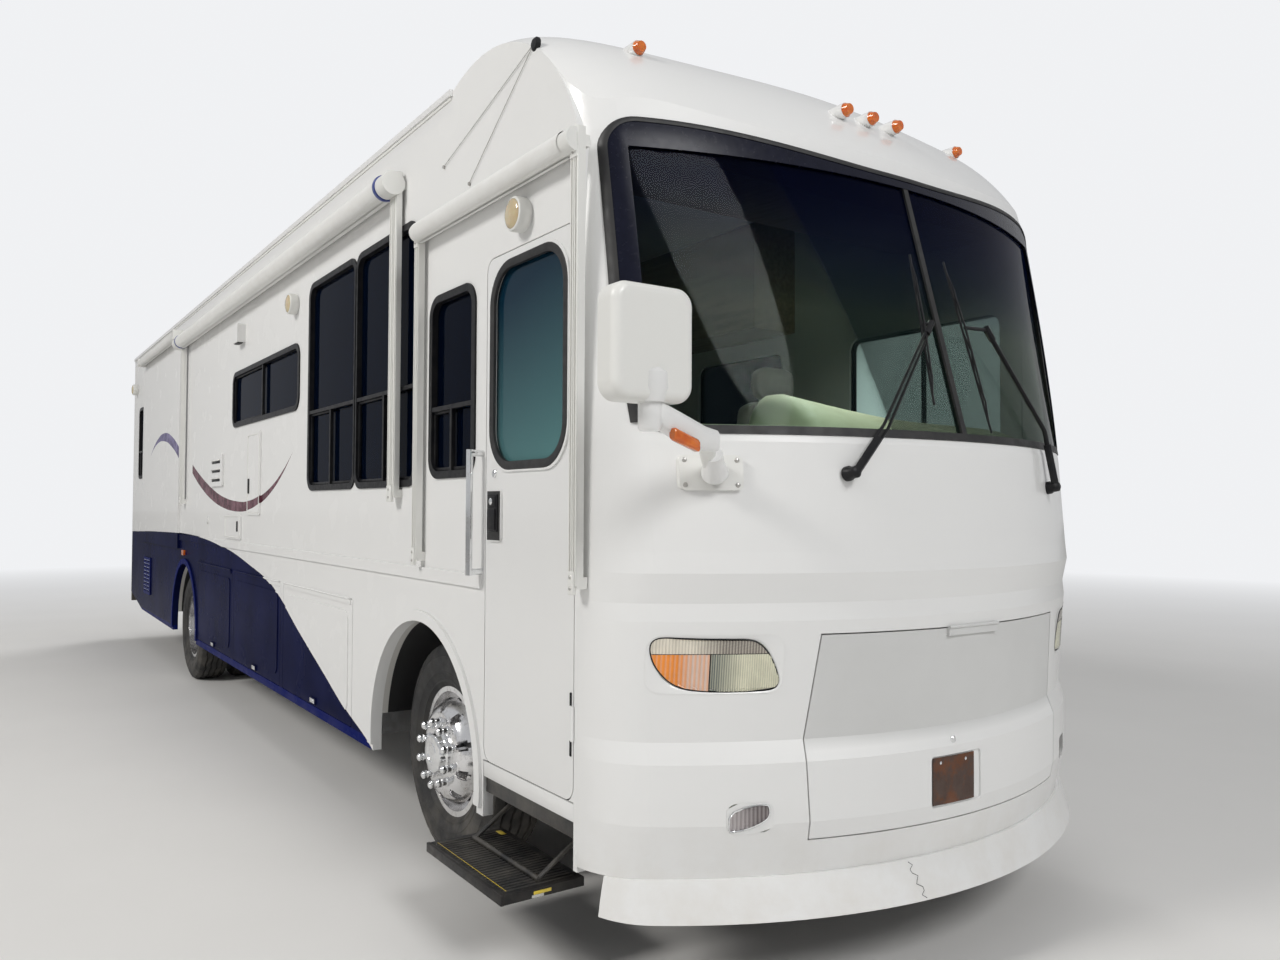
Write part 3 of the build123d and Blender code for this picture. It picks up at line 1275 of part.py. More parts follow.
def rim(x, y, flange_y, dish_y, bore_radius):
    """Rim with its middle at y; flange_y and dish_y place its bolting flange and the foot of its dish."""
    disc = ring_of([
        (bore_radius, flange_y),
        (flange_radius, flange_y),
        (dish_radius, dish_y),
        (disc_radius, dish_y),
        (disc_radius, dish_y - disc_thick),
        (dish_radius, dish_y - disc_thick),
        (flange_radius, flange_y - disc_thick),
        (bore_radius, flange_y - disc_thick),
    ], x, y)
    for k in range(hand_holes):
        angle = 2 * math.pi * k / hand_holes
        disc = disc - rod_y(x + hand_hole_circle * math.cos(angle), y - rim_half_width, y + rim_half_width,
                            wheel_z + hand_hole_circle * math.sin(angle), hand_hole_radius)
    return ring_of(barrel_points, x, y) + disc


# Front discs bulge out. Of each rear pair, the outer disc is deep set and the inner one bulges out
spindle_bore = spindle_radius + bore_gap
axle_bore = axle_tube_radius + bore_gap
front_flange = 92.0
dish_foot = 40.0
rear_flange = 92.0
rear_hub_radius = 105.0
front_hub_radius = 88.0
for name, side in (("right", -1), ("left", 1)):
    y = side * front_wheel_y
    keep("tyre_front_" + name, tyre(front_axle_x, y))
    shift = disc_thick if side < 0 else 0.0
    front_rim = rim(front_axle_x, y, side * front_flange + shift, side * dish_foot + shift, spindle_bore)
    drum = rod_y(front_axle_x, y, y + side * front_flange, wheel_z, 120.0)
    drum = drum - rod_y(front_axle_x, y - side * 5.0, y + side * (spindle_reach + 2.0), wheel_z,
                        spindle_bore)
    hub_cap = rod_y(front_axle_x, y + side * (front_flange - 10.0), y + side * 158.0, wheel_z,
                    front_hub_radius)
    keep("rim_front_" + name, front_rim + drum + hub_cap)
    outer_y = side * rear_outer_y
    inner_y = side * (rear_outer_y - dual_spacing)
    keep("tyres_rear_" + name, together([tyre(rear_axle_x, outer_y), tyre(rear_axle_x, inner_y)]))
    outer_rim = rim(rear_axle_x, outer_y, -side * rear_flange + shift, -side * dish_foot + shift, axle_bore)
    inner_rim = rim(rear_axle_x, inner_y, side * rear_flange + shift, side * dish_foot + shift, axle_bore)
    mid_y = side * (rear_outer_y - dual_spacing / 2)
    spacer_half = dual_spacing / 2 - rear_flange + 2.0
    spacer = rod_y(rear_axle_x, mid_y - spacer_half, mid_y + spacer_half, wheel_z, 130.0)
    spacer = spacer - rod_y(rear_axle_x, mid_y - spacer_half - 5.0, mid_y + spacer_half + 5.0, wheel_z,
                            axle_bore)
    axle_end = rear_outer_y - axle_short
    collar = rod_y(rear_axle_x, side * (rear_outer_y - rear_flange), side * (rear_outer_y + 60.0), wheel_z,
                   rear_hub_radius)
    collar = collar - rod_y(rear_axle_x, side * (rear_outer_y - rear_flange - 5.0), side * (axle_end + 2.0),
                            wheel_z,
                            axle_bore)
    keep("rims_rear_" + name, outer_rim + inner_rim + spacer + collar)

os.makedirs("parts", exist_ok=True)
for name, shape in nodes.items():
    export_step(shape, "parts/" + name + ".step")
print(len(nodes), "nodes")
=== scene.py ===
import json
from math import copysign, cos, pi, radians, sin, sqrt

import bmesh
import bpy
from mathutils import Matrix, Vector


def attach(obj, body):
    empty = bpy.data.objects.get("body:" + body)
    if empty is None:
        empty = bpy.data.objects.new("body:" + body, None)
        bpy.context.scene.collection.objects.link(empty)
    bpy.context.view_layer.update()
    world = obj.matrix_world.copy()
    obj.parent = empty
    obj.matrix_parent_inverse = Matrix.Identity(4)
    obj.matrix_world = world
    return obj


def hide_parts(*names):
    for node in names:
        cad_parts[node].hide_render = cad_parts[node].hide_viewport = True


# Looks of a rear-engined coach motorhome, metres, +X forward, +Y left, +Z up, ground at z = 0.
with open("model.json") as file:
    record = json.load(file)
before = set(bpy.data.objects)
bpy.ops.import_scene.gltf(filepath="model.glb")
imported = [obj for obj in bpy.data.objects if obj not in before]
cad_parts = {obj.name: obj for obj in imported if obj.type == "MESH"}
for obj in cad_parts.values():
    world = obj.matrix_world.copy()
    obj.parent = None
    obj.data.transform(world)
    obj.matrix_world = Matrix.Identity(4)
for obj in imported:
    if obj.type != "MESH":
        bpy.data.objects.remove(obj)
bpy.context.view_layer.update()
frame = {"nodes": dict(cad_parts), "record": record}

# Driving sizes, the same as the solids'
HALF_WIDTH = 1.295
WALL_Y = -HALF_WIDTH
FRONT_AXLE_X = 3.8
REAR_AXLE_X = -2.06
WHEEL_Z = 0.505
FRONT_WHEEL_Y = 1.03
REAR_OUTER_Y = 1.095
DUAL_SPACING = 0.335
SIDE_SIGN = {"right": -1, "left": 1}

# Cap face: height, centre-line x, front arc radius, corner arc radius
CAP_FACE = [
    (0.42, 5.795, 2.0, 0.3), (0.6, 5.835, 2.0, 0.3), (0.8, 5.835, 2.0, 0.3), (0.87, 5.808, 2.0, 0.3),
    (1.27, 5.842, 2.0, 0.3), (1.33, 5.835, 2.0, 0.3), (1.43, 5.858, 2.0, 0.3), (1.5, 5.85, 2.0, 0.3),
    (1.87, 5.82, 2.0, 0.3), (2.97, 5.515, 2.9, 0.2), (3.7, 5.31, 2.9, 0.2),
]


def cap_x(y, z):
    """x of the front cap's face at a distance from the centre plane and a height."""
    for low, high in zip(CAP_FACE, CAP_FACE[1:]):
        if z <= high[0] or high is CAP_FACE[-1]:
            share = (z - low[0]) / (high[0] - low[0])
            centre, radius, small = (a + (b - a) * share for a, b in zip(low[1:], high[1:]))
            break
    y = abs(y)
    corner_y = HALF_WIDTH - small
    if y <= corner_y * radius / (radius - small):
        return centre - radius + sqrt(radius ** 2 - y ** 2)
    corner_x = centre - radius + sqrt((radius - small) ** 2 - corner_y ** 2)
    return corner_x + sqrt(max(small ** 2 - (y - corner_y) ** 2, 0.0))


def on_cap(y, z, out=0.0, side=1):
    """Point on the cap's face, or that far in front of it, with y counted towards a side."""
    return Vector((cap_x(y, z) + out, side * y, z))


# Materials

def put(tree, socket, value):
    """Link a socket to an input, or set the input to a number or colour."""
    if isinstance(value, bpy.types.NodeSocket):
        tree.links.new(value, socket)
    elif isinstance(value, tuple) and len(value) == 3 and len(socket.default_value) == 4:
        socket.default_value = (*value, 1.0)
    else:
        socket.default_value = value


def add_node(tree, kind, inputs=(), **fields):
    """New shader node with its inputs linked or set, in order or by number or name."""
    node = tree.nodes.new("ShaderNode" + kind)
    for name, value in fields.items():
        setattr(node, name, value)
    for key, value in inputs.items() if isinstance(inputs, dict) else enumerate(inputs):
        put(tree, node.inputs[key], value)
    return node


LOOKS = {}


class Shade:
    """A material's node tree, with short names for the nodes used here; LOOKS keeps it by its name."""

    def __init__(self, name, rough, metal=0.0, coat=0.0):
        self.name = name
        LOOKS[name] = self
        self.material = bpy.data.materials.new(name)
        self.material.use_nodes = True
        self.tree = self.material.node_tree
        self.surface = self.tree.nodes["Principled BSDF"]
        self.set("Roughness", rough)
        self.set("Metallic", metal)
        self.set("Coat Weight", coat)
        self.set("Coat Roughness", 0.04)
        self.place = self.node("TexCoord").outputs["Object"]
        self.x, self.y, self.z = self.node("SeparateXYZ", [self.place]).outputs

    def node(self, kind, inputs=(), **fields):
        return add_node(self.tree, kind, inputs, **fields)

    def set(self, name, value):
        put(self.tree, self.surface.inputs[name], value)

    def colour(self, value):
        self.set("Base Color", value)

    def show(self, shader):
        """Take another shader to the material's surface."""
        put(self.tree, self.tree.nodes["Material Output"].inputs["Surface"], shader)

    def math(self, kind, a, b=0.0, clamp=False):
        return self.node("Math", [a, b], operation=kind, use_clamp=clamp).outputs[0]

    def times(self, a, b):
        return self.math("MULTIPLY", a, b)

    def above(self, a, b):
        """1 where a is greater than b, else 0."""
        return self.math("GREATER_THAN", a, b)

    def noise(self, scale, detail=3.0, stretch=(1, 1, 1), rough=0.5):
        spot = self.node("Mapping", {0: self.place, "Scale": stretch}).outputs[0]
        inputs = {"Vector": spot, "Scale": scale, "Detail": detail, "Roughness": rough}
        return self.node("TexNoise", inputs).outputs[0]

    def cells(self, scale):
        return self.node("TexVoronoi", {"Vector": self.place, "Scale": scale}, feature="DISTANCE_TO_EDGE").outputs[0]

    def span(self, value, low, high, to_low=0.0, to_high=1.0):
        """Map a range of a value to another, clamped."""
        return self.node("MapRange", [value, low, high, to_low, to_high]).outputs[0]

    def spots(self, scale, detail, low, high, to_low=0.0, to_high=1.0, **more):
        """Noise with a range of it mapped to another."""
        return self.span(self.noise(scale, detail, **more), low, high, to_low, to_high)

    def blend(self, share, a, b):
        return self.node("Mix", {0: share, 6: a, 7: b}, data_type="RGBA").outputs[2]

    def curve(self, value, points, low, high):
        """A smooth function of a value through points given in real units, as an output from 0 to 1."""
        node = self.node("FloatCurve", {"Value": self.span(value, points[0][0], points[-1][0])})
        line = node.mapping.curves[0]
        reach = points[-1][0] - points[0][0]
        spots = [((x - points[0][0]) / reach, (z - low) / (high - low)) for x, z in points]
        line.points[0].location = spots[0]
        line.points[1].location = spots[-1]
        for spot in spots[1:-1]:
            line.points.new(*spot)
        node.mapping.update()
        return self.math("ADD", self.times(node.outputs[0], high - low), low)

    def bump(self, *layers):
        """Stack bump layers, each a height socket with its distance in metres and its strength."""
        below = {}
        for height, distance, strength in layers:
            inputs = {"Distance": distance, "Strength": strength, "Height": height, **below}
            below = {"Normal": self.node("Bump", inputs).outputs[0]}
        self.set("Normal", below["Normal"])


DUST = (0.56, 0.5, 0.41)


def dusty(shade, colour, top=0.7, most=0.4):
    """Road dust that thins out with height."""
    low = shade.span(shade.z, 0.25, top, most, 0.0)
    spots = shade.spots(6.0, 5.0, 0.38, 0.72, rough=0.65)
    return shade.blend(shade.times(low, spots), colour, DUST)


def paint(name, colour, dark, rough=0.3, coat=0.5, most=0.3):
    """Glossy gelcoat with faint streaks, orange peel and road dust."""
    shade = Shade(name, rough, coat=coat)
    streaks = shade.spots(1.6, 3.0, 0.2, 0.8, stretch=(1.0, 1.0, 0.18))
    shade.colour(dusty(shade, shade.blend(streaks, colour, dark), most=most))
    shade.set("Roughness", shade.spots(5.0, 3.0, 0.2, 0.8, rough * 0.92, rough * 1.12))
    shade.bump((shade.noise(160.0, 2.0), 0.0002, 0.03))
    return shade


WHITE = (0.8, 0.8, 0.79)
WHITE_DARK = (0.793, 0.793, 0.782)
RAIL_BLUE = (0.004, 0.01, 0.105)
RAIL_TOP_Z = 0.452
ARCH_TOP_Z = 1.16
REAR_ARCH_FRONT_X = -1.39
LIP_PROUD = 0.0065
white_paint = paint("white_paint", WHITE, WHITE_DARK)

# Blue skirt graphic: its upper edge, x and z. Stripes: centre line, x and z, and half width, x and size
GRAPHIC_EDGE = [
    (-5.9, 1.325), (-5.52, 1.33), (-3.55, 1.37), (-1.37, 1.37), (-0.23, 1.3), (0.51, 1.21), (1.03, 1.13),
    (1.35, 1.04), (1.83, 0.86), (2.36, 0.67), (2.72, 0.54), (3.15, 0.41), (3.3, 0.3),
]
SWOOSH_LINE = [
    (-1.77, 1.992), (-1.36, 1.863), (-0.92, 1.756), (-0.46, 1.681), (0.01, 1.646), (0.43, 1.65),
    (0.81, 1.698), (1.09, 1.766), (1.34, 1.859), (1.61, 2.0),
]
SWOOSH_HALF = [(-1.77, 0.04), (-1.2, 0.05), (-0.5, 0.045), (0.3, 0.036), (1.05, 0.02), (1.61, 0.0)]
ARC_LINE = [(-4.14, 2.2), (-3.66, 2.345), (-3.15, 2.365), (-2.73, 2.29), (-2.36, 2.17)]
ARC_HALF = [(-4.14, 0.0), (-3.66, 0.022), (-3.15, 0.045), (-2.36, 0.055)]


def stripe(shade, line, half):
    """Mask of a curved stripe: 1 on the stripe and 0 off it."""
    centre = shade.curve(shade.x, line, 1.4, 2.6)
    width = shade.curve(shade.x, half, 0.0, 0.1)
    off = shade.math("ABSOLUTE", shade.math("SUBTRACT", shade.z, centre))
    before = shade.math("LESS_THAN", shade.x, line[-1][0])
    return shade.times(shade.above(width, off), shade.times(shade.above(shade.x, line[0][0]), before))


def graphic_paint():
    """White side paint with the blue skirt, the maroon swoosh and the violet arc."""
    shade = Shade("wall_paint", 0.28, coat=0.35)
    white = shade.blend(shade.spots(1.4, 3.0, 0.2, 0.8, stretch=(1.0, 1.0, 0.15)), WHITE, WHITE_DARK)
    marble = shade.spots(9.0, 5.0, 0.4, 0.62, rough=0.7)
    maroon = shade.blend(marble, (0.06, 0.008, 0.018), (0.19, 0.085, 0.11))
    violet = shade.blend(marble, (0.07, 0.055, 0.16), (0.22, 0.19, 0.36))
    colour = shade.blend(stripe(shade, SWOOSH_LINE, SWOOSH_HALF), white, maroon)
    colour = shade.blend(stripe(shade, ARC_LINE, ARC_HALF), colour, violet)
    below = shade.above(shade.curve(shade.x, GRAPHIC_EDGE, 0.2, 1.5), shade.z)
    navy = shade.blend(shade.spots(2.5, 3.0, 0.35, 0.7), (0.004, 0.006, 0.034), (0.008, 0.011, 0.055))
    navy = shade.blend(shade.math("LESS_THAN", shade.z, RAIL_TOP_Z), navy, RAIL_BLUE)
    # The rear arch's lip, which stands out of the wall
    proud = shade.above(shade.math("ABSOLUTE", shade.y), HALF_WIDTH + LIP_PROUD)
    arch = shade.times(proud, shade.math("LESS_THAN", shade.z, ARCH_TOP_Z))
    arch = shade.times(arch, shade.math("LESS_THAN", shade.x, REAR_ARCH_FRONT_X))
    navy = shade.blend(arch, navy, RAIL_BLUE)
    shade.colour(dusty(shade, shade.blend(below, colour, navy), 0.5, 0.14))
    shade.set("Roughness", shade.spots(4.0, 3.0, 0.2, 0.8, 0.24, 0.29))
    shade.set("Specular IOR Level", 0.03)
    shade.set("IOR", 1.16)
    shade.set("Coat Weight", shade.times(shade.math("SUBTRACT", 1.0, below), 0.3))
    shade.bump((shade.noise(160.0, 2.0), 0.0002, 0.03))
    return shade


wall_paint = graphic_paint()
cream_plastic = paint("white_plastic", (0.79, 0.79, 0.76), (0.765, 0.763, 0.733), 0.38, 0.1, 0.2)
blue_trim = paint("blue_paint", (0.02, 0.05, 0.27), (0.014, 0.03, 0.17), 0.3, 0.4, 0.3)

# The nose door is dull over its crease and clean below it
dull_paint = paint("dull_paint", WHITE, WHITE_DARK, 0.48, 0.1, 0.2)
weathered = dull_paint.blend(dull_paint.noise(3.0, 5.0), (0.68, 0.685, 0.675), (0.59, 0.59, 0.58))
dull_paint.colour(dull_paint.blend(dull_paint.span(dull_paint.z, 0.83, 0.87), WHITE, weathered))

# Wheel arch liners: pale near the wall's face and black further in
PALE_DEPTH = 0.075
liner_paint = paint("liner_paint", WHITE, WHITE_DARK, 0.5, 0.1, 0.2)
inward = liner_paint.math("LESS_THAN", liner_paint.math("ABSOLUTE", liner_paint.y), HALF_WIDTH - PALE_DEPTH)
liner_paint.colour(liner_paint.blend(inward, (0.58, 0.57, 0.54), (0.01, 0.01, 0.011)))


def grainy(name, colour, light, rough, scale, depth, most=0.3):
    """Moulded plastic, rubber or vinyl with a fine grain."""
    shade = Shade(name, rough)
    wear = shade.spots(scale * 0.04, 5.0, 0.4, 0.75)
    shade.colour(dusty(shade, shade.blend(wear, colour, light), most=most))
    shade.set("Roughness", shade.spots(scale * 0.1, 4.0, 0.3, 0.7, rough * 0.85, min(rough * 1.2, 1.0)))
    shade.bump((shade.cells(scale), depth, 0.35), (shade.noise(scale * 2.0, 2.0), depth, 0.25))
    return shade


black_plastic = grainy("black_plastic", (0.008, 0.008, 0.01), (0.018, 0.018, 0.018), 0.42, 420.0, 0.0002, 0.08)
black_plastic.set("Specular IOR Level", 0.22)
black_rubber = grainy("black_rubber", (0.01, 0.01, 0.011), (0.024, 0.023, 0.022), 0.55, 260.0, 0.0004, 0.14)
tyre_rubber = grainy("tyre_rubber", (0.014, 0.014, 0.015), (0.03, 0.029, 0.027), 0.66, 180.0, 0.0005, 0.14)
dash_plastic = grainy("dash_plastic", (0.62, 0.57, 0.44), (0.54, 0.49, 0.37), 0.6, 320.0, 0.0003)
screen_frit = grainy("screen_frit", (0.004, 0.005, 0.014), (0.006, 0.007, 0.018), 0.24, 500.0, 0.00005, 0.0)
screen_frit.set("Specular IOR Level", 0.18)
label_yellow = grainy("label_yellow", (0.75, 0.55, 0.02), (0.55, 0.42, 0.05), 0.5, 300.0, 0.0002)
label_white = grainy("label_white", (0.55, 0.55, 0.52), (0.4, 0.39, 0.36), 0.5, 300.0, 0.0002)


def metal(name, colour, rough, scratch=0.0, dirt=0.3, most=0.3):
    """Bare or plated metal with fine scratches and dried dirt."""
    shade = Shade(name, rough, metal=1.0)
    spots = shade.spots(14.0, 6.0, 0.52, 0.74, 0.0, dirt, rough=0.7)
    shade.colour(dusty(shade, shade.blend(spots, colour, (0.3, 0.25, 0.2)), most=most))
    shade.set("Metallic", shade.math("SUBTRACT", 1.0, shade.times(spots, 0.8)))
    shade.set("Roughness", shade.spots(30.0, 5.0, 0.3, 0.75, rough * 0.7, rough * 1.8))
    shade.bump((shade.noise(220.0, 3.0, (1.0, 6.0, 1.0)), 0.0002, 0.1 + scratch))
    return shade


chrome_metal = metal("chrome_metal", (0.84, 0.85, 0.86), 0.07)
polished_alloy = metal("polished_alloy", (0.8, 0.8, 0.81), 0.14, 0.1, 0.55, 0.25)
metal("grey_metal", (0.42, 0.43, 0.44), 0.42, 0.2)
bare_steel = metal("bare_steel", (0.5, 0.49, 0.47), 0.3, 0.2, 0.6)


def coated_steel(name, colour, rust, amount):
    """Chassis paint with rust patches and dust."""
    shade = Shade(name, 0.55)
    patches = shade.spots(7.0, 6.0, 0.68 - amount, 0.8 - amount, rough=0.7)
    shade.colour(dusty(shade, shade.blend(patches, colour, rust), 0.9, 0.22))
    shade.set("Roughness", shade.span(patches, 0.0, 1.0, 0.42, 0.85))
    shade.bump((shade.noise(60.0, 4.0), 0.0012, 0.3), (patches, 0.0008, 0.3))
    return shade


coated_steel("frame_steel", (0.014, 0.014, 0.015), (0.1, 0.055, 0.03), 0.03)
coated_steel("cast_metal", (0.05, 0.05, 0.052), (0.17, 0.09, 0.05), 0.14)
rusty_plate = coated_steel("rusty_plate", (0.045, 0.018, 0.01), (0.13, 0.045, 0.018), 0.22)

GLASS_IOR = 1.45


def glassy(name, rough, through):
    """Glass pane: what passes through takes the tint, and the rest is gloss by angle."""
    shade = Shade(name, rough)
    clear = shade.node("BsdfTransparent")
    shade.tint = lambda value: put(shade.tree, clear.inputs["Color"], value)
    shade.set("IOR", GLASS_IOR)
    shade.set("Roughness", shade.spots(8.0, 4.0, 0.3, 0.8, rough, rough + 0.05))
    shade.bump((shade.noise(2.2, 1.0), 0.01, 0.06))
    fresnel = shade.node("Fresnel", {"IOR": GLASS_IOR}).outputs[0]
    share = shade.math("ADD", shade.times(fresnel, 0.8), 1.0 - through, clamp=True)
    shade.show(shade.node("MixShader", [share, clear.outputs[0], shade.surface.outputs[0]]).outputs[0])
    return shade


# Dark tinted side windows; the driver's window is clear. Their dark blue base colour and blue specular tint are a
# painted reflection of blue sky.
dark_glass = glassy("dark_glass", 0.02, 0.93)
cab = dark_glass.times(dark_glass.above(dark_glass.y, 1.0), dark_glass.above(dark_glass.x, 3.9))
dark_glass.tint(dark_glass.blend(cab, (0.16, 0.18, 0.22), (0.93, 0.98, 0.98)))
haze = dark_glass.spots(1.2, 3.0, 0.3, 0.7)
dark_glass.colour(dark_glass.blend(haze, (0.002, 0.01, 0.036), (0.004, 0.014, 0.046)))
dark_glass.set("Specular Tint", (0.36, 0.52, 0.95))

# Door window: a blue-green tint, deeper at the top; its base colour, pale teal low and dark blue at the top, is a
# painted reflection.
door_glass = glassy("door_glass", 0.02, 0.7)
rise = door_glass.span(door_glass.math("ADD", door_glass.z, door_glass.times(door_glass.x, -0.25)), 0.62, 1.32)
door_glass.tint(door_glass.blend(rise, (0.62, 0.8, 0.8), (0.2, 0.38, 0.46)))
door_glass.colour(door_glass.blend(rise, (0.17, 0.34, 0.35), (0.01, 0.055, 0.1)))

# Windshield: pale green with a dark blue shade band along the top
screen_glass = glassy("clear_glass", 0.015, 0.97)
rise = screen_glass.span(screen_glass.z, 2.36, 2.84)
screen_glass.tint(screen_glass.blend(rise, (0.87, 0.975, 0.92), (0.16, 0.2, 0.36)))
screen_glass.colour(screen_glass.blend(rise, (0.006, 0.012, 0.012), (0.006, 0.012, 0.055)))


def lens(name, colour, deep, ribs=0.0):
    """Moulded lamp lens with a honeycomb grain or upright ribs."""
    shade = Shade(name, 0.12, coat=0.6)
    shade.colour(shade.blend(shade.spots(30.0, 4.0, 0.35, 0.7), colour, deep))
    shade.set("Transmission Weight", 0.25)
    shade.set("Subsurface Weight", 0.15)
    if ribs:
        shade.bump((shade.math("SINE", shade.times(shade.y, ribs)), 0.0015, 0.6))
    else:
        shade.bump((shade.cells(130.0), 0.0012, 0.5))
    return shade


amber_plastic = lens("amber_plastic", (0.88, 0.22, 0.01), (0.66, 0.11, 0.005))
lens("red_plastic", (0.5, 0.01, 0.01), (0.26, 0.005, 0.005))
lamp_ribbed = lens("lamp_ribbed", (0.7, 0.7, 0.62), (0.58, 0.56, 0.46), 900.0)
porch_lens = lens("porch_lens", (0.78, 0.64, 0.4), (0.68, 0.53, 0.3), 300.0)


def patterned_lens(name, bright, shadow, bright_from, bright_to, ribs):
    """Ribbed lamp lens over a reflector, with the reflector's shine painted in: a painted highlight and painted
    shade by the distance from the centre plane, and painted glints along the ribs.
    """
    shade = Shade(name, 0.1, coat=0.7)
    out = shade.math("ABSOLUTE", shade.y)
    wave = shade.math("SINE", shade.times(out, ribs))
    # Painted highlight where the reflector shines, painted glints on the ribs, painted shade elsewhere
    shining = shade.span(out, bright_from, bright_to)
    flicker = shade.times(shade.math("ADD", wave, 1.0), 0.22)
    share = shade.math("ADD", shade.times(shining, 0.72), flicker, clamp=True)
    # Colour of the painted highlight, mottled at random
    mottled_shine = shade.blend(shade.spots(18.0, 4.0, 0.4, 0.7), bright, tuple(c * 0.86 for c in bright))
    shade.colour(shade.blend(share, shadow, mottled_shine))
    shade.bump((wave, 0.0012, 0.5), (shade.cells(160.0), 0.0006, 0.3))
    return shade


# Lamp lenses: the bright colour is the reflector's painted highlight, the dark colour painted shade beside it
beam_lens = patterned_lens("beam_lens", (0.74, 0.72, 0.54), (0.09, 0.11, 0.1), 0.985, 0.9, 900.0)
strip_lens = patterned_lens("strip_lens", (0.78, 0.72, 0.6), (0.16, 0.14, 0.12), 0.965, 1.06, 700.0)
turn_lens = patterned_lens("turn_lens", (0.88, 0.27, 0.02), (0.66, 0.52, 0.44), 1.055, 1.1, 500.0)
fog_lens = patterned_lens("fog_lens", (0.46, 0.42, 0.42), (0.1, 0.08, 0.08), 0.86, 0.94, 500.0)


def wood(name, light, dark):
    shade = Shade(name, 0.4, coat=0.2)
    grain = shade.noise(5.0, 6.0, (0.6, 8.0, 8.0), 0.6)
    shade.colour(shade.blend(shade.span(grain, 0.35, 0.65), light, dark))
    shade.set("Roughness", shade.span(grain, 0.3, 0.7, 0.34, 0.5))
    shade.bump((grain, 0.001, 0.15))
    return shade


def fabric(name, light, dark, scale=900.0):
    """Woven cloth or vinyl with a mottled colour."""
    shade = Shade(name, 0.9)
    shade.set("Sheen Weight", 0.3)
    wave_x, wave_y, wave_z = (shade.math("SINE", shade.times(axis, scale)) for axis in (shade.x, shade.y, shade.z))
    weave = shade.math("ADD", shade.times(wave_x, wave_y), shade.times(wave_z, wave_x))
    shade.colour(shade.blend(shade.spots(12.0, 5.0, 0.35, 0.7), light, dark))
    shade.bump((weave, 0.0004, 0.12), (shade.noise(40.0, 3.0), 0.001, 0.08))
    return shade


wood("cabin_wood", (0.34, 0.27, 0.18), (0.24, 0.18, 0.12))
wood("floor_board", (0.34, 0.28, 0.22), (0.24, 0.19, 0.15))
cabin_fabric = fabric("cabin_fabric", (0.2, 0.19, 0.17), (0.14, 0.13, 0.12))
awning_vinyl = fabric("awning_vinyl", (0.78, 0.78, 0.76), (0.745, 0.74, 0.715), 2400.0)

mirror_silver = Shade("mirror_face", 0.03, metal=1.0)
haze = mirror_silver.spots(6.0, 4.0, 0.4, 0.8)
mirror_silver.colour(mirror_silver.blend(haze, (0.86, 0.87, 0.88), (0.7, 0.7, 0.7)))
mirror_silver.set("Roughness", mirror_silver.spots(10.0, 4.0, 0.4, 0.8, 0.02, 0.12))

# The solids take the look named as their material slot, and a few nodes another
LOOKS["lamp_glass"] = lamp_ribbed
NODE_LOOKS = {"entry_door_glass": door_glass, "wall_fittings": wall_paint, "generator_door": dull_paint,
              "arch_liners": liner_paint}
for part in frame["record"]["subparts"]:
    item = frame["nodes"][part["node"]]
    look = NODE_LOOKS.get(part["node"], LOOKS[part["material_slot"]]).material
    if not item.material_slots:
        item.data.materials.append(look)
    for held in item.material_slots:
        held.link = "OBJECT"
        held.material = look


# Pieces

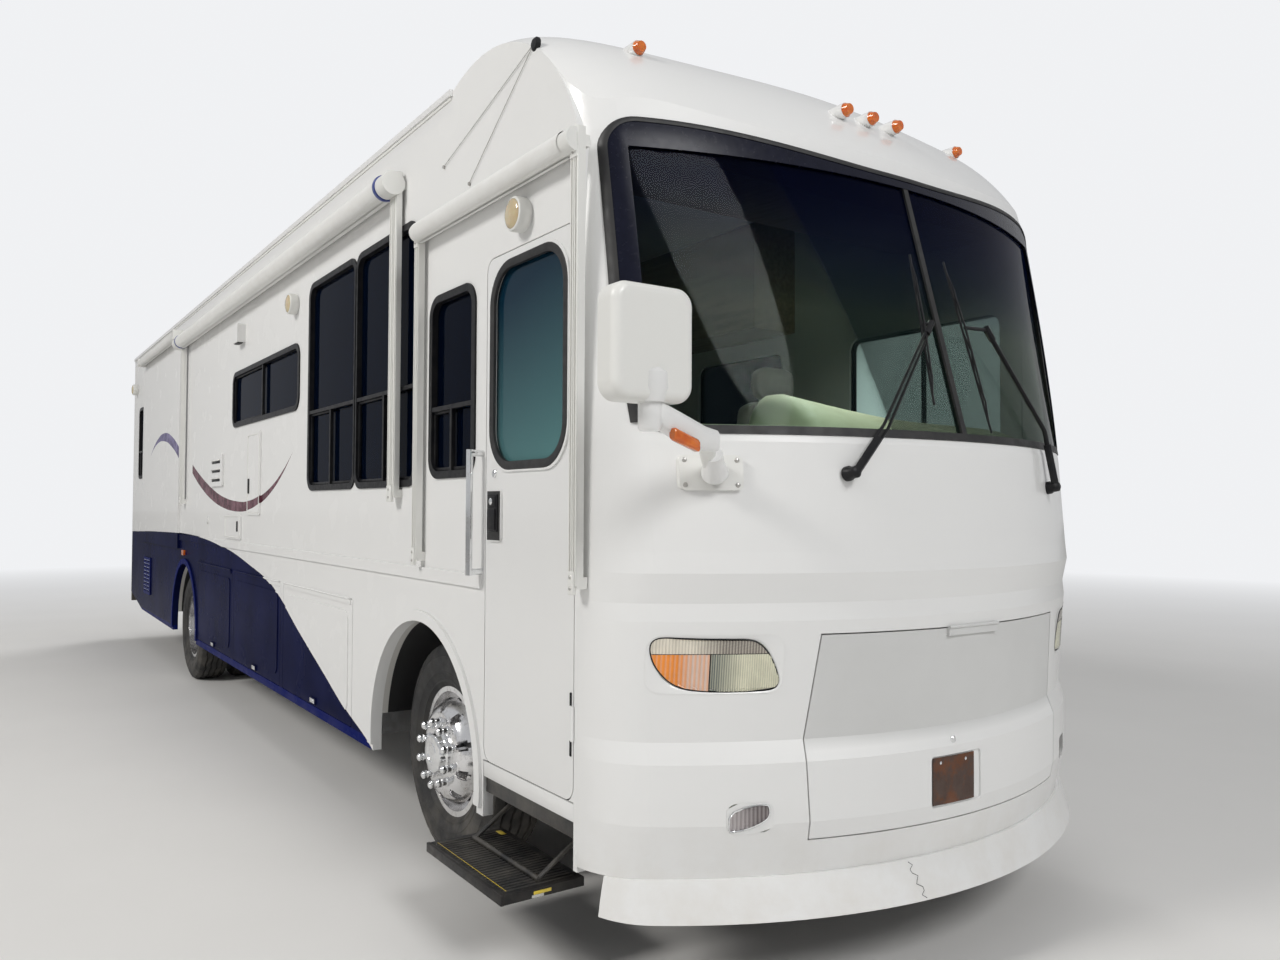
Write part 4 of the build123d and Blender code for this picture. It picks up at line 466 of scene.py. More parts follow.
class Piece:
    """A joined mesh of one material that moves with one body; it keeps a slot name, the look's name unless given,
    which nothing here reads.

    The methods that add to it hand it back, so that calls can follow each other.
    """

    def __init__(self, name, look, body="coach", slot=None):
        self.name = name
        self.look = look
        self.body = body
        self.slot = slot or look.name
        self.mesh = bmesh.new()

    def block(self, low, high, bevel=0.0, segments=2, turn=None):
        """Box with rounded edges; turn is a matrix applied about its own middle."""
        low = Vector(low)
        high = Vector(high)
        made = bmesh.ops.create_cube(self.mesh, size=1.0)["verts"]
        centre = (low + high) / 2
        for vertex in made:
            vertex.co = Vector(a * abs(b) for a, b in zip(vertex.co, high - low))
        if bevel:
            edges = list(dict.fromkeys(edge for vertex in made for edge in vertex.link_edges))
            made = bmesh.ops.bevel(self.mesh, geom=edges, offset=bevel, segments=segments, profile=0.5,
                                   affect="EDGES", clamp_overlap=True)["verts"]
        for vertex in made:
            if turn is not None:
                vertex.co = turn @ vertex.co
            vertex.co += centre
        return self

    def on_wall(self, x0, x1, z0, z1, near, far, bevel, segments=2, side=-1, turn=None):
        """Block on a side wall, between two distances from the wall's face."""
        low = (x0, side * (HALF_WIDTH + near), z0)
        high = (x1, side * (HALF_WIDTH + far), z1)
        return self.block(low, high, bevel, segments, turn)

    def grid(self, rows, closed_rows=False, closed_columns=False):
        """Skin over rows of points that all have the same length."""
        made = [[self.mesh.verts.new(point) for point in row] for row in rows]
        row_count = len(made)
        column_count = len(made[0])
        for i in range(row_count if closed_rows else row_count - 1):
            for j in range(column_count if closed_columns else column_count - 1):
                a, b = made[i], made[(i + 1) % row_count]
                k = (j + 1) % column_count
                self.mesh.faces.new((a[j], a[k], b[k], b[j]))
        self.last_rows = made
        return self

    def rod(self, rows):
        """Closed skin over rings, with a face at each end."""
        self.grid(rows, closed_columns=True)
        self.mesh.faces.new(list(reversed(self.last_rows[0])))
        self.mesh.faces.new(self.last_rows[-1])
        return self

    def tube(self, points, radius, sides=10, closed=False):
        """Round bar along points."""
        points = [Vector(point) for point in points]
        count = len(points)
        rows = []
        side = None
        for i, point in enumerate(points):
            ahead = points[(i + 1) % count] if closed or i < count - 1 else point
            behind = points[i - 1] if closed or i > 0 else point
            way = (ahead - behind).normalized()
            side = side or way.orthogonal().normalized()
            side = (side - way * side.dot(way)).normalized()
            up = way.cross(side)
            rows.append([point + (side * cos(a) + up * sin(a)) * radius
                         for a in (2 * pi * k / sides for k in range(sides))])
        return self.grid(rows, closed_rows=True, closed_columns=True) if closed else self.rod(rows)

    def turned(self, profile, centre, way=(0, 1, 0), segments=48, wave=None):
        """Turn a profile of (radius, along) about an axis through centre; wave shifts each point by angle."""
        centre = Vector(centre)
        way = Vector(way).normalized()
        side = way.orthogonal().normalized()
        up = way.cross(side)
        rows = []
        for k in range(segments):
            angle = 2 * pi * k / segments
            arm = side * cos(angle) + up * sin(angle)
            row = []
            for number, (radius, along) in enumerate(profile):
                if wave:
                    radius, along = wave(number, radius, along, k)
                row.append(centre + arm * max(radius, 0.0002) + way * along)
            rows.append(row)
        return self.grid(rows, closed_rows=True)

    def screw(self, place, way, radius=0.008):
        """Small domed screw head."""
        return self.turned([(radius, 0.0), (radius, radius * 0.3), (radius * 0.6, radius * 0.6),
                            (0.0, radius * 0.7)], place, way, 10)

    def done(self, sharp=35.0, replaces=()):
        """Make the object, give it its material and body."""
        bmesh.ops.remove_doubles(self.mesh, verts=self.mesh.verts, dist=1e-6)
        bmesh.ops.recalc_face_normals(self.mesh, faces=self.mesh.faces)
        data = bpy.data.meshes.new(self.name)
        self.mesh.to_mesh(data)
        self.mesh.free()
        for polygon in data.polygons:
            polygon.use_smooth = True
        data.set_sharp_from_angle(angle=radians(sharp))
        item = bpy.data.objects.new(self.name, data)
        bpy.context.collection.objects.link(item)
        data.materials.append(self.look.material)
        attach(item, self.body)
        if replaces:
            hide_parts(*replaces)
        return item


def round_rect(y, x0, x1, z0, z1, radius, steps=6):
    """Points round a rounded rectangle in x and z, at a given y."""
    points = []
    for cx, cz, start in ((x1 - radius, z1 - radius, 0), (x0 + radius, z1 - radius, 90),
                          (x0 + radius, z0 + radius, 180), (x1 - radius, z0 + radius, 270)):
        for k in range(steps + 1):
            angle = radians(start + 90 * k / steps)
            points.append((cx + radius * cos(angle), y, cz + radius * sin(angle)))
    return points


# Tyres: rib tread with grooves, shoulder slots and sidewall rings
GROOVES = (-0.072, -0.024, 0.024, 0.072)
TREAD_RADIUS = 0.505
GROOVE_FLOOR = 0.493
TREAD_SEGMENTS = 192
TYRE_HALF = [
    (0.2895, 0.092), (0.3, 0.108), (0.318, 0.118), (0.321, 0.1225), (0.326, 0.1225), (0.33, 0.121),
    (0.362, 0.133), (0.366, 0.1362), (0.37, 0.1345), (0.405, 0.1395), (0.437, 0.1365), (0.441, 0.1385),
    (0.446, 0.1345), (0.468, 0.1275), (0.486, 0.119), (0.492, 0.1165), (0.5005, 0.101),
]
TREAD_START = len(TYRE_HALF)
TREAD_LAST = TREAD_START + 4 * len(GROOVES) - 1
TYRE_PROFILE = [(radius, -width) for radius, width in TYRE_HALF]
for groove in GROOVES:
    TYRE_PROFILE += [(TREAD_RADIUS, groove - 0.0065), (GROOVE_FLOOR, groove - 0.0035),
                     (GROOVE_FLOOR, groove + 0.0035), (TREAD_RADIUS, groove + 0.0065)]
TYRE_PROFILE += reversed(TYRE_HALF)


def tread_wave(number, radius, along, k):
    """Zigzag grooves and slotted shoulders."""
    if TREAD_START <= number <= TREAD_LAST:
        return radius, along + 0.0035 * (1 if k % 8 < 4 else -1)
    if number in (TREAD_START - 1, TREAD_START - 2, TREAD_LAST + 1, TREAD_LAST + 2) and k % 4 == 0:
        return radius - 0.0045, along
    return radius, along


def tyres(name, body, x, places, solid):
    piece = Piece(name, tyre_rubber, body)
    for y in places:
        piece.turned(TYRE_PROFILE, (x, y, WHEEL_Z), (0, 1, 0), TREAD_SEGMENTS, tread_wave)
    piece.done(28.0, [solid])


# Wheel nuts with tall chrome covers, and hub covers
NUT_COUNT = 10
NUT_CIRCLE = 0.1425
NUT_PROFILE = [(0.0215, 0.0), (0.0215, 0.006), (0.0165, 0.009), (0.0158, 0.026), (0.019, 0.031), (0.0205, 0.039),
               (0.0185, 0.049), (0.011, 0.056), (0.0, 0.058)]


def wheel_trim(name, body, x, y, side, nut_seat, hub_seat, hub, reach):
    piece = Piece(name, chrome_metal, body)
    way = (0, side, 0)
    for k in range(NUT_COUNT):
        angle = 2 * pi * (k + 0.5) / NUT_COUNT
        spot = (x + NUT_CIRCLE * cos(angle), y + side * nut_seat, WHEEL_Z + NUT_CIRCLE * sin(angle))
        piece.turned(NUT_PROFILE, spot, way, 14)
    piece.turned([(hub + 0.014, 0.0), (hub + 0.014, 0.006), (hub + 0.007, 0.01), (hub + 0.0035, 0.016),
                  (hub + 0.0025, reach - 0.01), (hub - 0.002, reach - 0.002), (hub - 0.012, reach + 0.002),
                  (0.052, reach + 0.002), (0.048, reach + 0.005), (0.04, reach + 0.005), (0.036, reach + 0.001),
                  (0.0, reach + 0.001)], (x, y + side * hub_seat, WHEEL_Z), way, 48)
    piece.done(30.0)


# Front disc: radius and distance outwards, and the hand holes in it
DISC_PROFILE = [
    (0.244, 0.094), (0.24, 0.1), (0.234, 0.112), (0.227, 0.125), (0.219, 0.137), (0.211, 0.147), (0.203, 0.1545),
    (0.194, 0.16), (0.183, 0.164), (0.173, 0.1655), (0.1, 0.1655), (0.08, 0.1655),
]
DISC_THICK = 0.007
HAND_HOLES = 10
DISC_STEPS = 120


def convex_disc(name, body, x, y, side):
    """Disc that stands out to the nuts, with a ring of hand holes cut through it."""
    piece = Piece(name, polished_alloy, body)
    new_face = piece.mesh.faces.new
    per_hole = DISC_STEPS // HAND_HOLES
    front = []
    back = []
    for k in range(DISC_STEPS):
        angle = 2 * pi * k / DISC_STEPS
        for store, thick in ((front, 0.0), (back, DISC_THICK)):
            store.append([piece.mesh.verts.new((x + (r - thick * 0.4) * cos(angle), y + side * (out - thick),
                                                WHEEL_Z + (r - thick * 0.4) * sin(angle)))
                          for r, out in DISC_PROFILE])

    def cut(k, j):
        near = min(k % per_hole, per_hole - 1 - k % per_hole)
        return near >= 4 and 3 <= j <= 6 or near >= 5 and 2 <= j <= 7

    last = len(DISC_PROFILE) - 1
    for k in range(DISC_STEPS):
        n = (k + 1) % DISC_STEPS
        for j in range(last):
            if cut(k, j):
                continue
            new_face((front[k][j], front[k][j + 1], front[n][j + 1], front[n][j]))
            new_face((back[k][j], back[n][j], back[n][j + 1], back[k][j + 1]))
            for a, open_beside in ((k, cut(k - 1, j)), (n, cut(n, j))):
                if open_beside:
                    new_face((front[a][j], back[a][j], back[a][j + 1], front[a][j + 1]))
            for b in ((j,) if j and cut(k, j - 1) else ()) + ((j + 1,) if j + 1 < last and cut(k, j + 1) else ()):
                new_face((front[k][b], front[n][b], back[n][b], back[k][b]))
        new_face((front[k][0], front[n][0], back[n][0], back[k][0]))
        new_face((front[k][last], back[k][last], back[n][last], front[n][last]))
    piece.done(40.0)


for name, side in SIDE_SIGN.items():
    tyres("tyre_tread_front_" + name, "wheel_front_" + name, FRONT_AXLE_X, [side * FRONT_WHEEL_Y],
          "tyre_front_" + name)
    tyres("tyre_tread_rear_" + name, "wheels_rear_" + name, REAR_AXLE_X,
          [side * REAR_OUTER_Y, side * (REAR_OUTER_Y - DUAL_SPACING)], "tyres_rear_" + name)
for name, side in SIDE_SIGN.items():
    body = "wheel_front_" + name
    y = side * FRONT_WHEEL_Y
    convex_disc("disc_front_" + name, body, FRONT_AXLE_X, y, side)
    wheel_trim("hub_trim_front_" + name, body, FRONT_AXLE_X, y, side, 0.1655, 0.1655, 0.088, 0.042)
    wheel_trim("hub_trim_rear_" + name, "wheels_rear_" + name, REAR_AXLE_X, side * REAR_OUTER_Y, side, -0.092, 0.01,
               0.105, 0.051)

# Entry door: gasket round its window, latch, locks and hinge strip
piece = Piece("door_gasket", black_rubber, "entry_door")
x0, x1, z0, z1, radius = 4.53, 5.11, 1.81, 2.6, 0.15
piece.grid([round_rect(WALL_Y - proud, x0 - grow, x1 + grow, z0 - grow, z1 + grow, radius + grow, 10)
            for grow, proud in ((0.02, -0.001), (0.02, 0.007), (0.015, 0.011), (-0.006, 0.011), (-0.014, 0.008),
                                (-0.016, -0.003))], closed_columns=True)
piece.on_wall(4.505, 4.615, 1.515, 1.71, 0.0095, 0.0125, 0.001)
piece.done()

piece = Piece("door_latch", black_plastic, "entry_door")
piece.on_wall(4.517, 4.603, 1.548, 1.698, 0.0115, 0.0185, 0.003, 3)
piece.on_wall(4.527, 4.593, 1.556, 1.64, 0.017, 0.0245, 0.003, 3)
piece.on_wall(4.527, 4.593, 1.648, 1.69, 0.017, 0.0215, 0.002, 3)
piece.done()

OUTWARD = (0, -1, 0)
piece = Piece("door_lock", chrome_metal, "entry_door")
piece.turned([(0.0, 0.0), (0.014, 0.0), (0.014, 0.004), (0.011, 0.006), (0.0, 0.006)],
             (4.56, WALL_Y - 0.021, 1.669), OUTWARD, 24)
piece.turned([(0.0, 0.0), (0.017, 0.0), (0.017, 0.004), (0.013, 0.007), (0.0, 0.007)],
             (4.548, WALL_Y - 0.0003, 1.78), OUTWARD, 24)
piece.done()

strip = Piece("door_hinge_strip", black_plastic, "entry_door")
strip.on_wall(5.15, 5.16, 0.785, 1.005, -0.0005, 0.0045, 0.002).done()

# Sill under the door: a pale strip over the black panel
Piece("door_sill", white_paint).on_wall(4.467, 5.173, 0.562, 0.624, -0.0115, -0.0005, 0.003).done()

# Side windows' sliding sash bars: side, and the window's x and z from and to
WINDOWS = [
    (-1, 1.99, 2.83, 1.77, 2.99), (-1, 2.87, 3.7, 1.77, 2.99), (-1, 3.91, 4.34, 1.8, 2.57),
    (-1, -0.09, 1.73, 2.29, 2.67), (-1, -5.14, -4.84, 2.0, 2.8), (1, 4.06, 5.08, 1.8, 2.64),
    (1, 2.62, 3.48, 1.77, 2.64), (1, 0.78, 1.96, 1.95, 2.64), (1, -1.18, -0.72, 2.18, 2.64),
    (1, -4.42, -3.18, 1.95, 2.64),
]
piece = Piece("sash_bars", black_plastic)
for side, x0, x1, z0, z1 in WINDOWS:
    if x1 - x0 > z1 - z0:
        middle = x0 + (x1 - x0) * 0.5
        bars = [(x0 + 0.006, middle, z0 + 0.008, z0 + 0.02), (x0 + 0.006, middle, z1 - 0.02, z1 - 0.008),
                (x0 + 0.008, x0 + 0.02, z0 + 0.02, z1 - 0.02)]
    else:
        middle = z0 + (z1 - z0) * 0.37
        bars = [(x0 + 0.008, x1 - 0.008, z0 + 0.008, z0 + 0.022),
                (x0 + 0.008, (x0 + x1) / 2, middle - 0.022, middle - 0.009),
                (x0 + 0.008, x0 + 0.02, z0 + 0.02, middle - 0.014),
                (x1 - 0.018, x1 - 0.008, z0 + 0.02, middle - 0.014)]
    for bar in bars:
        piece.on_wall(*bar, -0.0195, -0.004, 0.002, side=side)
piece.done()

# Awnings: blue end rings, fabric wrap, channels on the arms and their bolts
piece = Piece("awning_end_rings", blue_trim)
for x in (3.445, -2.05):
    piece.turned([(0.054, -0.012), (0.064, -0.012), (0.066, 0.0), (0.064, 0.012), (0.054, 0.012)],
                 (x, -1.361, 3.215), (1, 0, 0), 40)
piece.done()

piece = Piece("awning_wrap", awning_vinyl, slot="white_plastic")
for x0, x1, y, z, radius in ((-2.04, 3.435, -1.361, 3.215, 0.058), (3.852, 5.19, -1.345, 2.905, 0.042),
                             (-4.69, -2.39, -1.351, 3.33, 0.042)):
    rows = []
    for k in range(34):
        angle = radians(-150 + 330 * k / 33)
        reach = radius + 0.002 + 0.004 * k / 33
        rows.append([(x, y + reach * sin(angle), z + reach * cos(angle)) for x in (x0, x1)])
    piece.grid(rows)
    piece.block((x0, y + radius * 0.2, z + radius + 0.002), (x1, WALL_Y - 0.001, z + radius + 0.007), 0.001)
piece.done(50.0)

# x, width and z from and to of the awnings' upright arms
AWNING_ARMS = [(3.5, 0.09, 1.7, 3.27), (-2.1, 0.09, 1.68, 3.27), (5.232, 0.052, 1.38, 2.945),
               (3.812, 0.052, 1.41, 2.945)]
piece = Piece("awning_channels", cream_plastic)
bolts = Piece("awning_bolts", bare_steel, slot="chrome_metal")
for x, width, z0, z1 in AWNING_ARMS:
    for offset in (-0.42, -0.1, 0.1, 0.42):
        piece.on_wall(x + width * offset - 0.003, x + width * offset + 0.003, z0, z1, 0.041, 0.047, 0.001)
    piece.on_wall(x - width * 0.34, x + width * 0.34, z0 - 0.03, z0 + 0.05, 0.038, 0.054, 0.004)
    piece.on_wall(x - width * 0.45, x + width * 0.45, z1 - 0.1, z1 + 0.01, 0.038, 0.052, 0.004)
    for z in (z0 - 0.008, z0 + 0.03, z1 - 0.08, z1 - 0.02):
        bolts.screw((x, WALL_Y - 0.0535, z), OUTWARD, 0.007)
piece.done()
bolts.done()

# Small side fittings: vent blades and slots, hatch edges, latches and flood lamps
VENT_X = (-0.82, -0.49)
FLOOD_LAMPS = [(1.66, 2.95), (-5.39, 3.08), (4.79, 2.76)]
piece = Piece("fitting_details", cream_plastic)
latches = Piece("fitting_latches", black_plastic)
for z in (1.85, 1.925, 2.0):
    piece.on_wall(*VENT_X, z + 0.022, z + 0.034, 0.016, 0.026, 0.003, turn=Matrix.Rotation(radians(-20), 3, "X"))
    latches.on_wall(*VENT_X, z, z + 0.022, 0.0112, 0.0125, 0.0005)
for y, *edges in ((WALL_Y - 0.0105, 0.44, 0.78, 1.6, 2.17, 0.02),
                  (WALL_Y - 0.0125, -0.29, 0.21, 1.405, 1.565, 0.015),
                  (HALF_WIDTH + 0.013, -0.36, 0.06, 1.47, 2.03, 0.02)):
    piece.tube(round_rect(y, *edges), 0.004, 6, closed=True)
latches.on_wall(0.455, 0.495, 1.74, 1.85, 0.009, 0.016, 0.004)
latches.on_wall(0.12, 0.15, 1.45, 1.53, 0.011, 0.019, 0.003)
latches.on_wall(0.11, 0.24, 2.895, 2.902, 0.013, 0.05, 0.002)
lenses = Piece("flood_lenses", porch_lens, slot="lamp_glass")
for x, z in FLOOD_LAMPS:
    piece.turned([(0.0645, -0.046), (0.067, -0.04), (0.067, -0.004), (0.064, 0.003), (0.057, 0.006)],
                 (x, WALL_Y - 0.052, z), OUTWARD, 32)
    lenses.turned([(0.06, 0.0), (0.054, 0.008), (0.036, 0.014), (0.0, 0.017)], (x, WALL_Y - 0.053, z), OUTWARD, 32)
piece.done()
latches.done()
lenses.done()

# Louvres low on both sides behind the rear wheels; drip edges and sealant beads at the roof's gutters
louvres = Piece("side_louvres", blue_trim)
gutters = Piece("roof_gutters", cream_plastic)
for side in (-1, 1):
    for x in (-4.52, -4.31):
        for row in range(9):
            z = 0.675 + row * 0.042
            louvres.on_wall(x, x + 0.17, z + 0.013, z + 0.022, 0.0075, 0.0145, 0.002, side=side,
                            turn=Matrix.Rotation(radians(side * 20), 3, "X"))
    gutters.on_wall(-5.64, 4.09, 3.45, 3.4655, -0.003, 0.006, 0.002, side=side)
    gutters.tube([(x, side * (HALF_WIDTH - 0.01), 3.4935) for x in (-5.63, 4.08)], 0.005, 6)
louvres.done()
gutters.done()

# Bay door latches, in the middle of each door: side, and the door's shares of the bays' length
BAY_REAR_X = REAR_AXLE_X + 0.59 + 0.03
BAY_FRONT_X = FRONT_AXLE_X - 0.01 - 0.615 - 0.175
BAY_SHARES = {
    "right_front": (-1, 0.649, 0.962), "right_middle": (-1, 0.325, 0.633), "right_rear": (-1, 0.005, 0.309),
    "left_front": (1, 0.649, 0.962), "left_rear": (1, 0.005, 0.633),
}
for name, (side, low, high) in BAY_SHARES.items():
    x = BAY_REAR_X + (low + high) / 2 * (BAY_FRONT_X - BAY_REAR_X)
    piece = Piece("bay_latch_" + name, chrome_metal, "bay_door_" + name)
    piece.on_wall(x - 0.045, x + 0.045, 0.472, 0.498, 0.0075, 0.0115, 0.0015, side=side)
    piece.screw((x + 0.03, side * (HALF_WIDTH + 0.011), 0.485), (0, side, 0), 0.006)
    piece.done()

# Nose lamps on the cap's own curve: outlines as distance from the centre plane and height
HEADLAMP_SHAPE = [
    (1.14, 1.219), (1.077, 1.2155), (1.01, 1.2125), (0.947, 1.212), (0.884, 1.211), (0.846, 1.19), (0.818, 1.15),
    (0.794, 1.092), (0.79, 1.062), (0.808, 1.041), (0.893, 1.0375), (0.99, 1.0375), (1.072, 1.046), (1.122, 1.074),
    (1.158, 1.126), (1.171, 1.168), (1.171, 1.198), (1.16, 1.213),
]
FOG_SHAPE = [
    (0.95, 0.638), (0.892, 0.664), (0.838, 0.667), (0.828, 0.657), (0.828, 0.631), (0.842, 0.613), (0.889, 0.59),
    (0.945, 0.578), (0.951, 0.592),
]
# Their holes in the cap: y and z from and to, and corner radius
HEADLAMP_HOLE = (0.785, 1.18, 1.035, 1.222, 0.045)
FOG_HOLE = (0.82, 0.955, 0.575, 0.672, 0.025)
STRIP_Z = 1.163
TURN_FROM_Y = 1.003


def smoothed(shape, rounds=2):
    """Cut the corners of a closed outline, so that it reads as a curve."""
    for _ in range(rounds):
        shape = [tuple(p * (1 - share) + q * share for p, q in zip(a, b))
                 for a, b in zip(shape, shape[1:] + shape[:1]) for share in (0.25, 0.75)]
    return shape


def reach_at(shape, z):
    """Smallest and largest distance from the centre plane inside an outline at a height."""
    found = []
    for (y0, z0), (y1, z1) in zip(shape, shape[1:] + shape[:1]):
        if min(z0, z1) <= z <= max(z0, z1) and z0 != z1:
            found.append(y0 + (y1 - y0) * (z - z0) / (z1 - z0))
    return min(found), max(found)


RIB_WAVE = 500.0


def lens_skin(piece, side, shape, z_from, z_to, y_from, y_to, depth, rows, columns, ribs):
    """Skin inside an outline, cut to a range of heights and distances, sunk below the cap's curve."""
    heights = [z for _, z in shape]
    z_from = max(z_from, min(heights) + 0.0006)
    z_to = min(z_to, max(heights) - 0.0006)
    grid = []
    for i in range(rows + 1):
        z = z_from + (z_to - z_from) * i / rows
        low, high = reach_at(shape, z)
        low = min(max(low, y_from), y_to)
        high = max(min(high, y_to), y_from)
        row = []
        for j in range(columns + 1):
            y = low + (high - low) * j / columns
            row.append(on_cap(y, z, ribs * sin(y * RIB_WAVE) - depth, side))
        grid.append(row)
    piece.grid(grid)


def hole_point(hole, y, z):
    """Point on a rounded hole's edge, in the direction from its middle to (y, z)."""
    y0, y1, z0, z1, radius = hole
    middle = Vector(((y0 + y1) / 2, (z0 + z1) / 2))
    way = (Vector((y, z)) - middle).normalized()
    inner = Vector(((y1 - y0) / 2 - radius, (z1 - z0) / 2 - radius))
    reach = 0.0
    while reach < 1.0:
        spot = way * reach
        over = Vector((max(abs(spot.x) - inner.x, 0.0), max(abs(spot.y) - inner.y, 0.0)))
        if over.length > radius + 0.004:
            break
        reach += 0.001
    return middle + way * reach


def lamp_mask(piece, side, shape, hole, depth):
    """Moulded surround from a lamp's outline to just past the edge of its hole in the cap."""
    rows = []
    for y, z in shape:
        edge = hole_point(hole, y, z)
        row = []
        for share, sunk in ((0.0, depth), (0.12, depth * 0.35), (0.35, depth * 0.05), (1.0, -0.0012)):
            spot = Vector((y, z)) * (1 - share) + edge * share
            row.append(on_cap(*spot, -sunk, side))
        rows.append(row)
    piece.grid(rows, closed_rows=True)


headlamp_outline = smoothed(HEADLAMP_SHAPE)
fog_outline = smoothed(FOG_SHAPE, 1)
beam = Piece("headlamp_beam", beam_lens, slot="lamp_glass")
strip = Piece("headlamp_strip", strip_lens, slot="lamp_glass")
turn = Piece("headlamp_turn", turn_lens, slot="amber_plastic")
mask = Piece("lamp_surrounds", white_paint)
lines = Piece("headlamp_lines", black_plastic)
for side in (-1, 1):
    lens_skin(beam, side, headlamp_outline, 1.0, STRIP_Z - 0.001, 0.7, TURN_FROM_Y - 0.002, 0.0008, 10, 80, 0.0008)
    lens_skin(turn, side, headlamp_outline, 1.0, STRIP_Z - 0.001, TURN_FROM_Y + 0.002, 1.3, 0.0008, 10, 60, 0.0008)
    lens_skin(strip, side, headlamp_outline, STRIP_Z + 0.001, 1.3, 0.7, 1.3, 0.0016, 5, 90, 0.0006)
    lamp_mask(mask, side, headlamp_outline, HEADLAMP_HOLE, 0.01)
    lines.tube([on_cap(y, z, -0.0035, side) for y, z in headlamp_outline], 0.003, 6, closed=True)
    lines.tube([on_cap(TURN_FROM_Y, z, -0.0012, side) for z in (1.04, 1.1, STRIP_Z)], 0.0016, 6)
    lines.tube([on_cap(y, STRIP_Z, -0.0016, side) for y in (0.83, 0.92, 1.0, 1.08, 1.165)], 0.0014, 6)
lamp_mask(mask, -1, fog_outline, FOG_HOLE, 0.006)
for piece, sharp in ((beam, 35.0), (strip, 35.0), (turn, 35.0), (mask, 50.0), (lines, 60.0)):
    piece.done(sharp)

# Fog lamp's face and bright rim on the right; the left one is missing and its hole stays dark
piece = Piece("fog_lamp_face", fog_lens, slot="lamp_glass")
lens_skin(piece, -1, fog_outline, 0.5, 0.7, 0.7, 1.0, 0.002, 8, 36, 0.0009)
piece.done()
rim = [on_cap(y, z, 0.0005, -1) for y, z in fog_outline]
Piece("fog_rim", chrome_metal).tube(rim, 0.0035, 6, closed=True).done(60.0)

# Rusty bare plate, its screws and the key latch on the nose door
piece = Piece("plate_blank", rusty_plate, "generator_door", "cast_metal")
for depth in (0.0015, 0.0035):
    piece.grid([[on_cap(y, z, -depth) for y in (-0.208, -0.15, -0.095, -0.04, 0.008)]
                for z in (0.597, 0.65, 0.7, 0.764)])
piece.done()
piece = Piece("nose_latch", chrome_metal, "generator_door")
piece.turned([(0.0, 0.0), (0.013, 0.0), (0.013, 0.005), (0.009, 0.008), (0.0, 0.008)],
             on_cap(-0.1, 0.82, -0.001), (1, 0, 0.05), 24)
for y in (-0.17, -0.04):
    piece.screw(on_cap(y, 0.745, -0.0018), (1, 0, 0), 0.006)
piece.done()

# Wipers: slim arms from the pivots to the wrists, and blades with bowed bridges
WIPER_STAND = 0.034


def wiper(piece, pivot, bend, wrist, high, low, rods):
    """One wiper, from the y and z of its joints and blade ends, and the offset and radius of its arm's rods."""
    piece.turned([(0.026, -0.004), (0.026, 0.012), (0.021, 0.02), (0.021, 0.044), (0.014, 0.05), (0.0, 0.051)],
                 on_cap(*pivot, 0.004), (1, 0, 0.15), 20)
    start = on_cap(*pivot, WIPER_STAND + 0.006)
    knee = on_cap(*bend, WIPER_STAND + 0.006)
    end = on_cap(*wrist, WIPER_STAND + 0.014)
    across = (end - start).normalized().cross(Vector((1, 0, 0.2))).normalized()
    piece.tube([start, start.lerp(knee, 0.45), start.lerp(knee, 0.75)], 0.015, 8)
    for offset, radius in rods:
        piece.tube([start + across * offset, knee + across * offset, end + across * offset * 0.6], radius, 8)
    last = (end - knee).normalized()
    piece.tube([end - last * 0.05, end + last * 0.012], 0.014, 8)
    low = on_cap(*low, WIPER_STAND)
    way = on_cap(*high, WIPER_STAND) - low
    nearest = low + way * ((end - low).dot(way) / way.length_squared)
    piece.tube([end, (end + nearest) / 2 + Vector((0.006, 0, 0)), nearest + Vector((0.014, 0, 0))], 0.007, 8)
    piece.tube([low + way * share for share in (0.0, 0.25, 0.5, 0.75, 1.0)], 0.0045, 6)
    for first, last in ((0.06, 0.3), (0.34, 0.58), (0.7, 0.94)):
        middle = low + way * (first + last) / 2 + Vector((0.012, 0, 0.003))
        piece.tube([low + way * first, middle, low + way * last], 0.0032, 6)
    ends = [low + way * share + Vector((0.01, 0, 0)) for share in (0.18, 0.82)]
    piece.tube([ends[0], nearest + Vector((0.016, 0, 0)), ends[1]], 0.0038, 6)


piece = Piece("wiper_set", black_plastic)
wiper(piece, (-0.56, 1.765), (-0.42, 1.93), (-0.105, 2.33), (-0.11, 2.61), (-0.17, 2.02),
      ((0.011, 0.0055), (-0.011, 0.0055)))
wiper(piece, (0.65, 1.735), (0.6, 1.97), (0.255, 2.35), (0.085, 2.61), (0.125, 1.93), ((0.0, 0.0095),))
piece.done(40.0, ["wipers"])

# Antenna low on the dome's right side, with two thin wires led down to the wall
base = [(0.028, 0.0), (0.028, 0.01), (0.02, 0.018), (0.0, 0.019)]
Piece("antenna", black_plastic).turned(base, (4.858, -1.284, 3.4), OUTWARD, 20).done()
piece = Piece("antenna_wires", bare_steel, slot="chrome_metal")
ANTENNA = Vector((4.858, -1.3, 3.4))
for foot in ((4.02, -1.3005, 3.17), (4.29, -1.3005, 3.02)):
    piece.tube([ANTENNA, (ANTENNA + Vector(foot)) / 2, foot], 0.0016, 6)
    piece.turned([(0.008, -0.004), (0.008, 0.003), (0.0, 0.005)], foot, OUTWARD, 10)
piece.done()

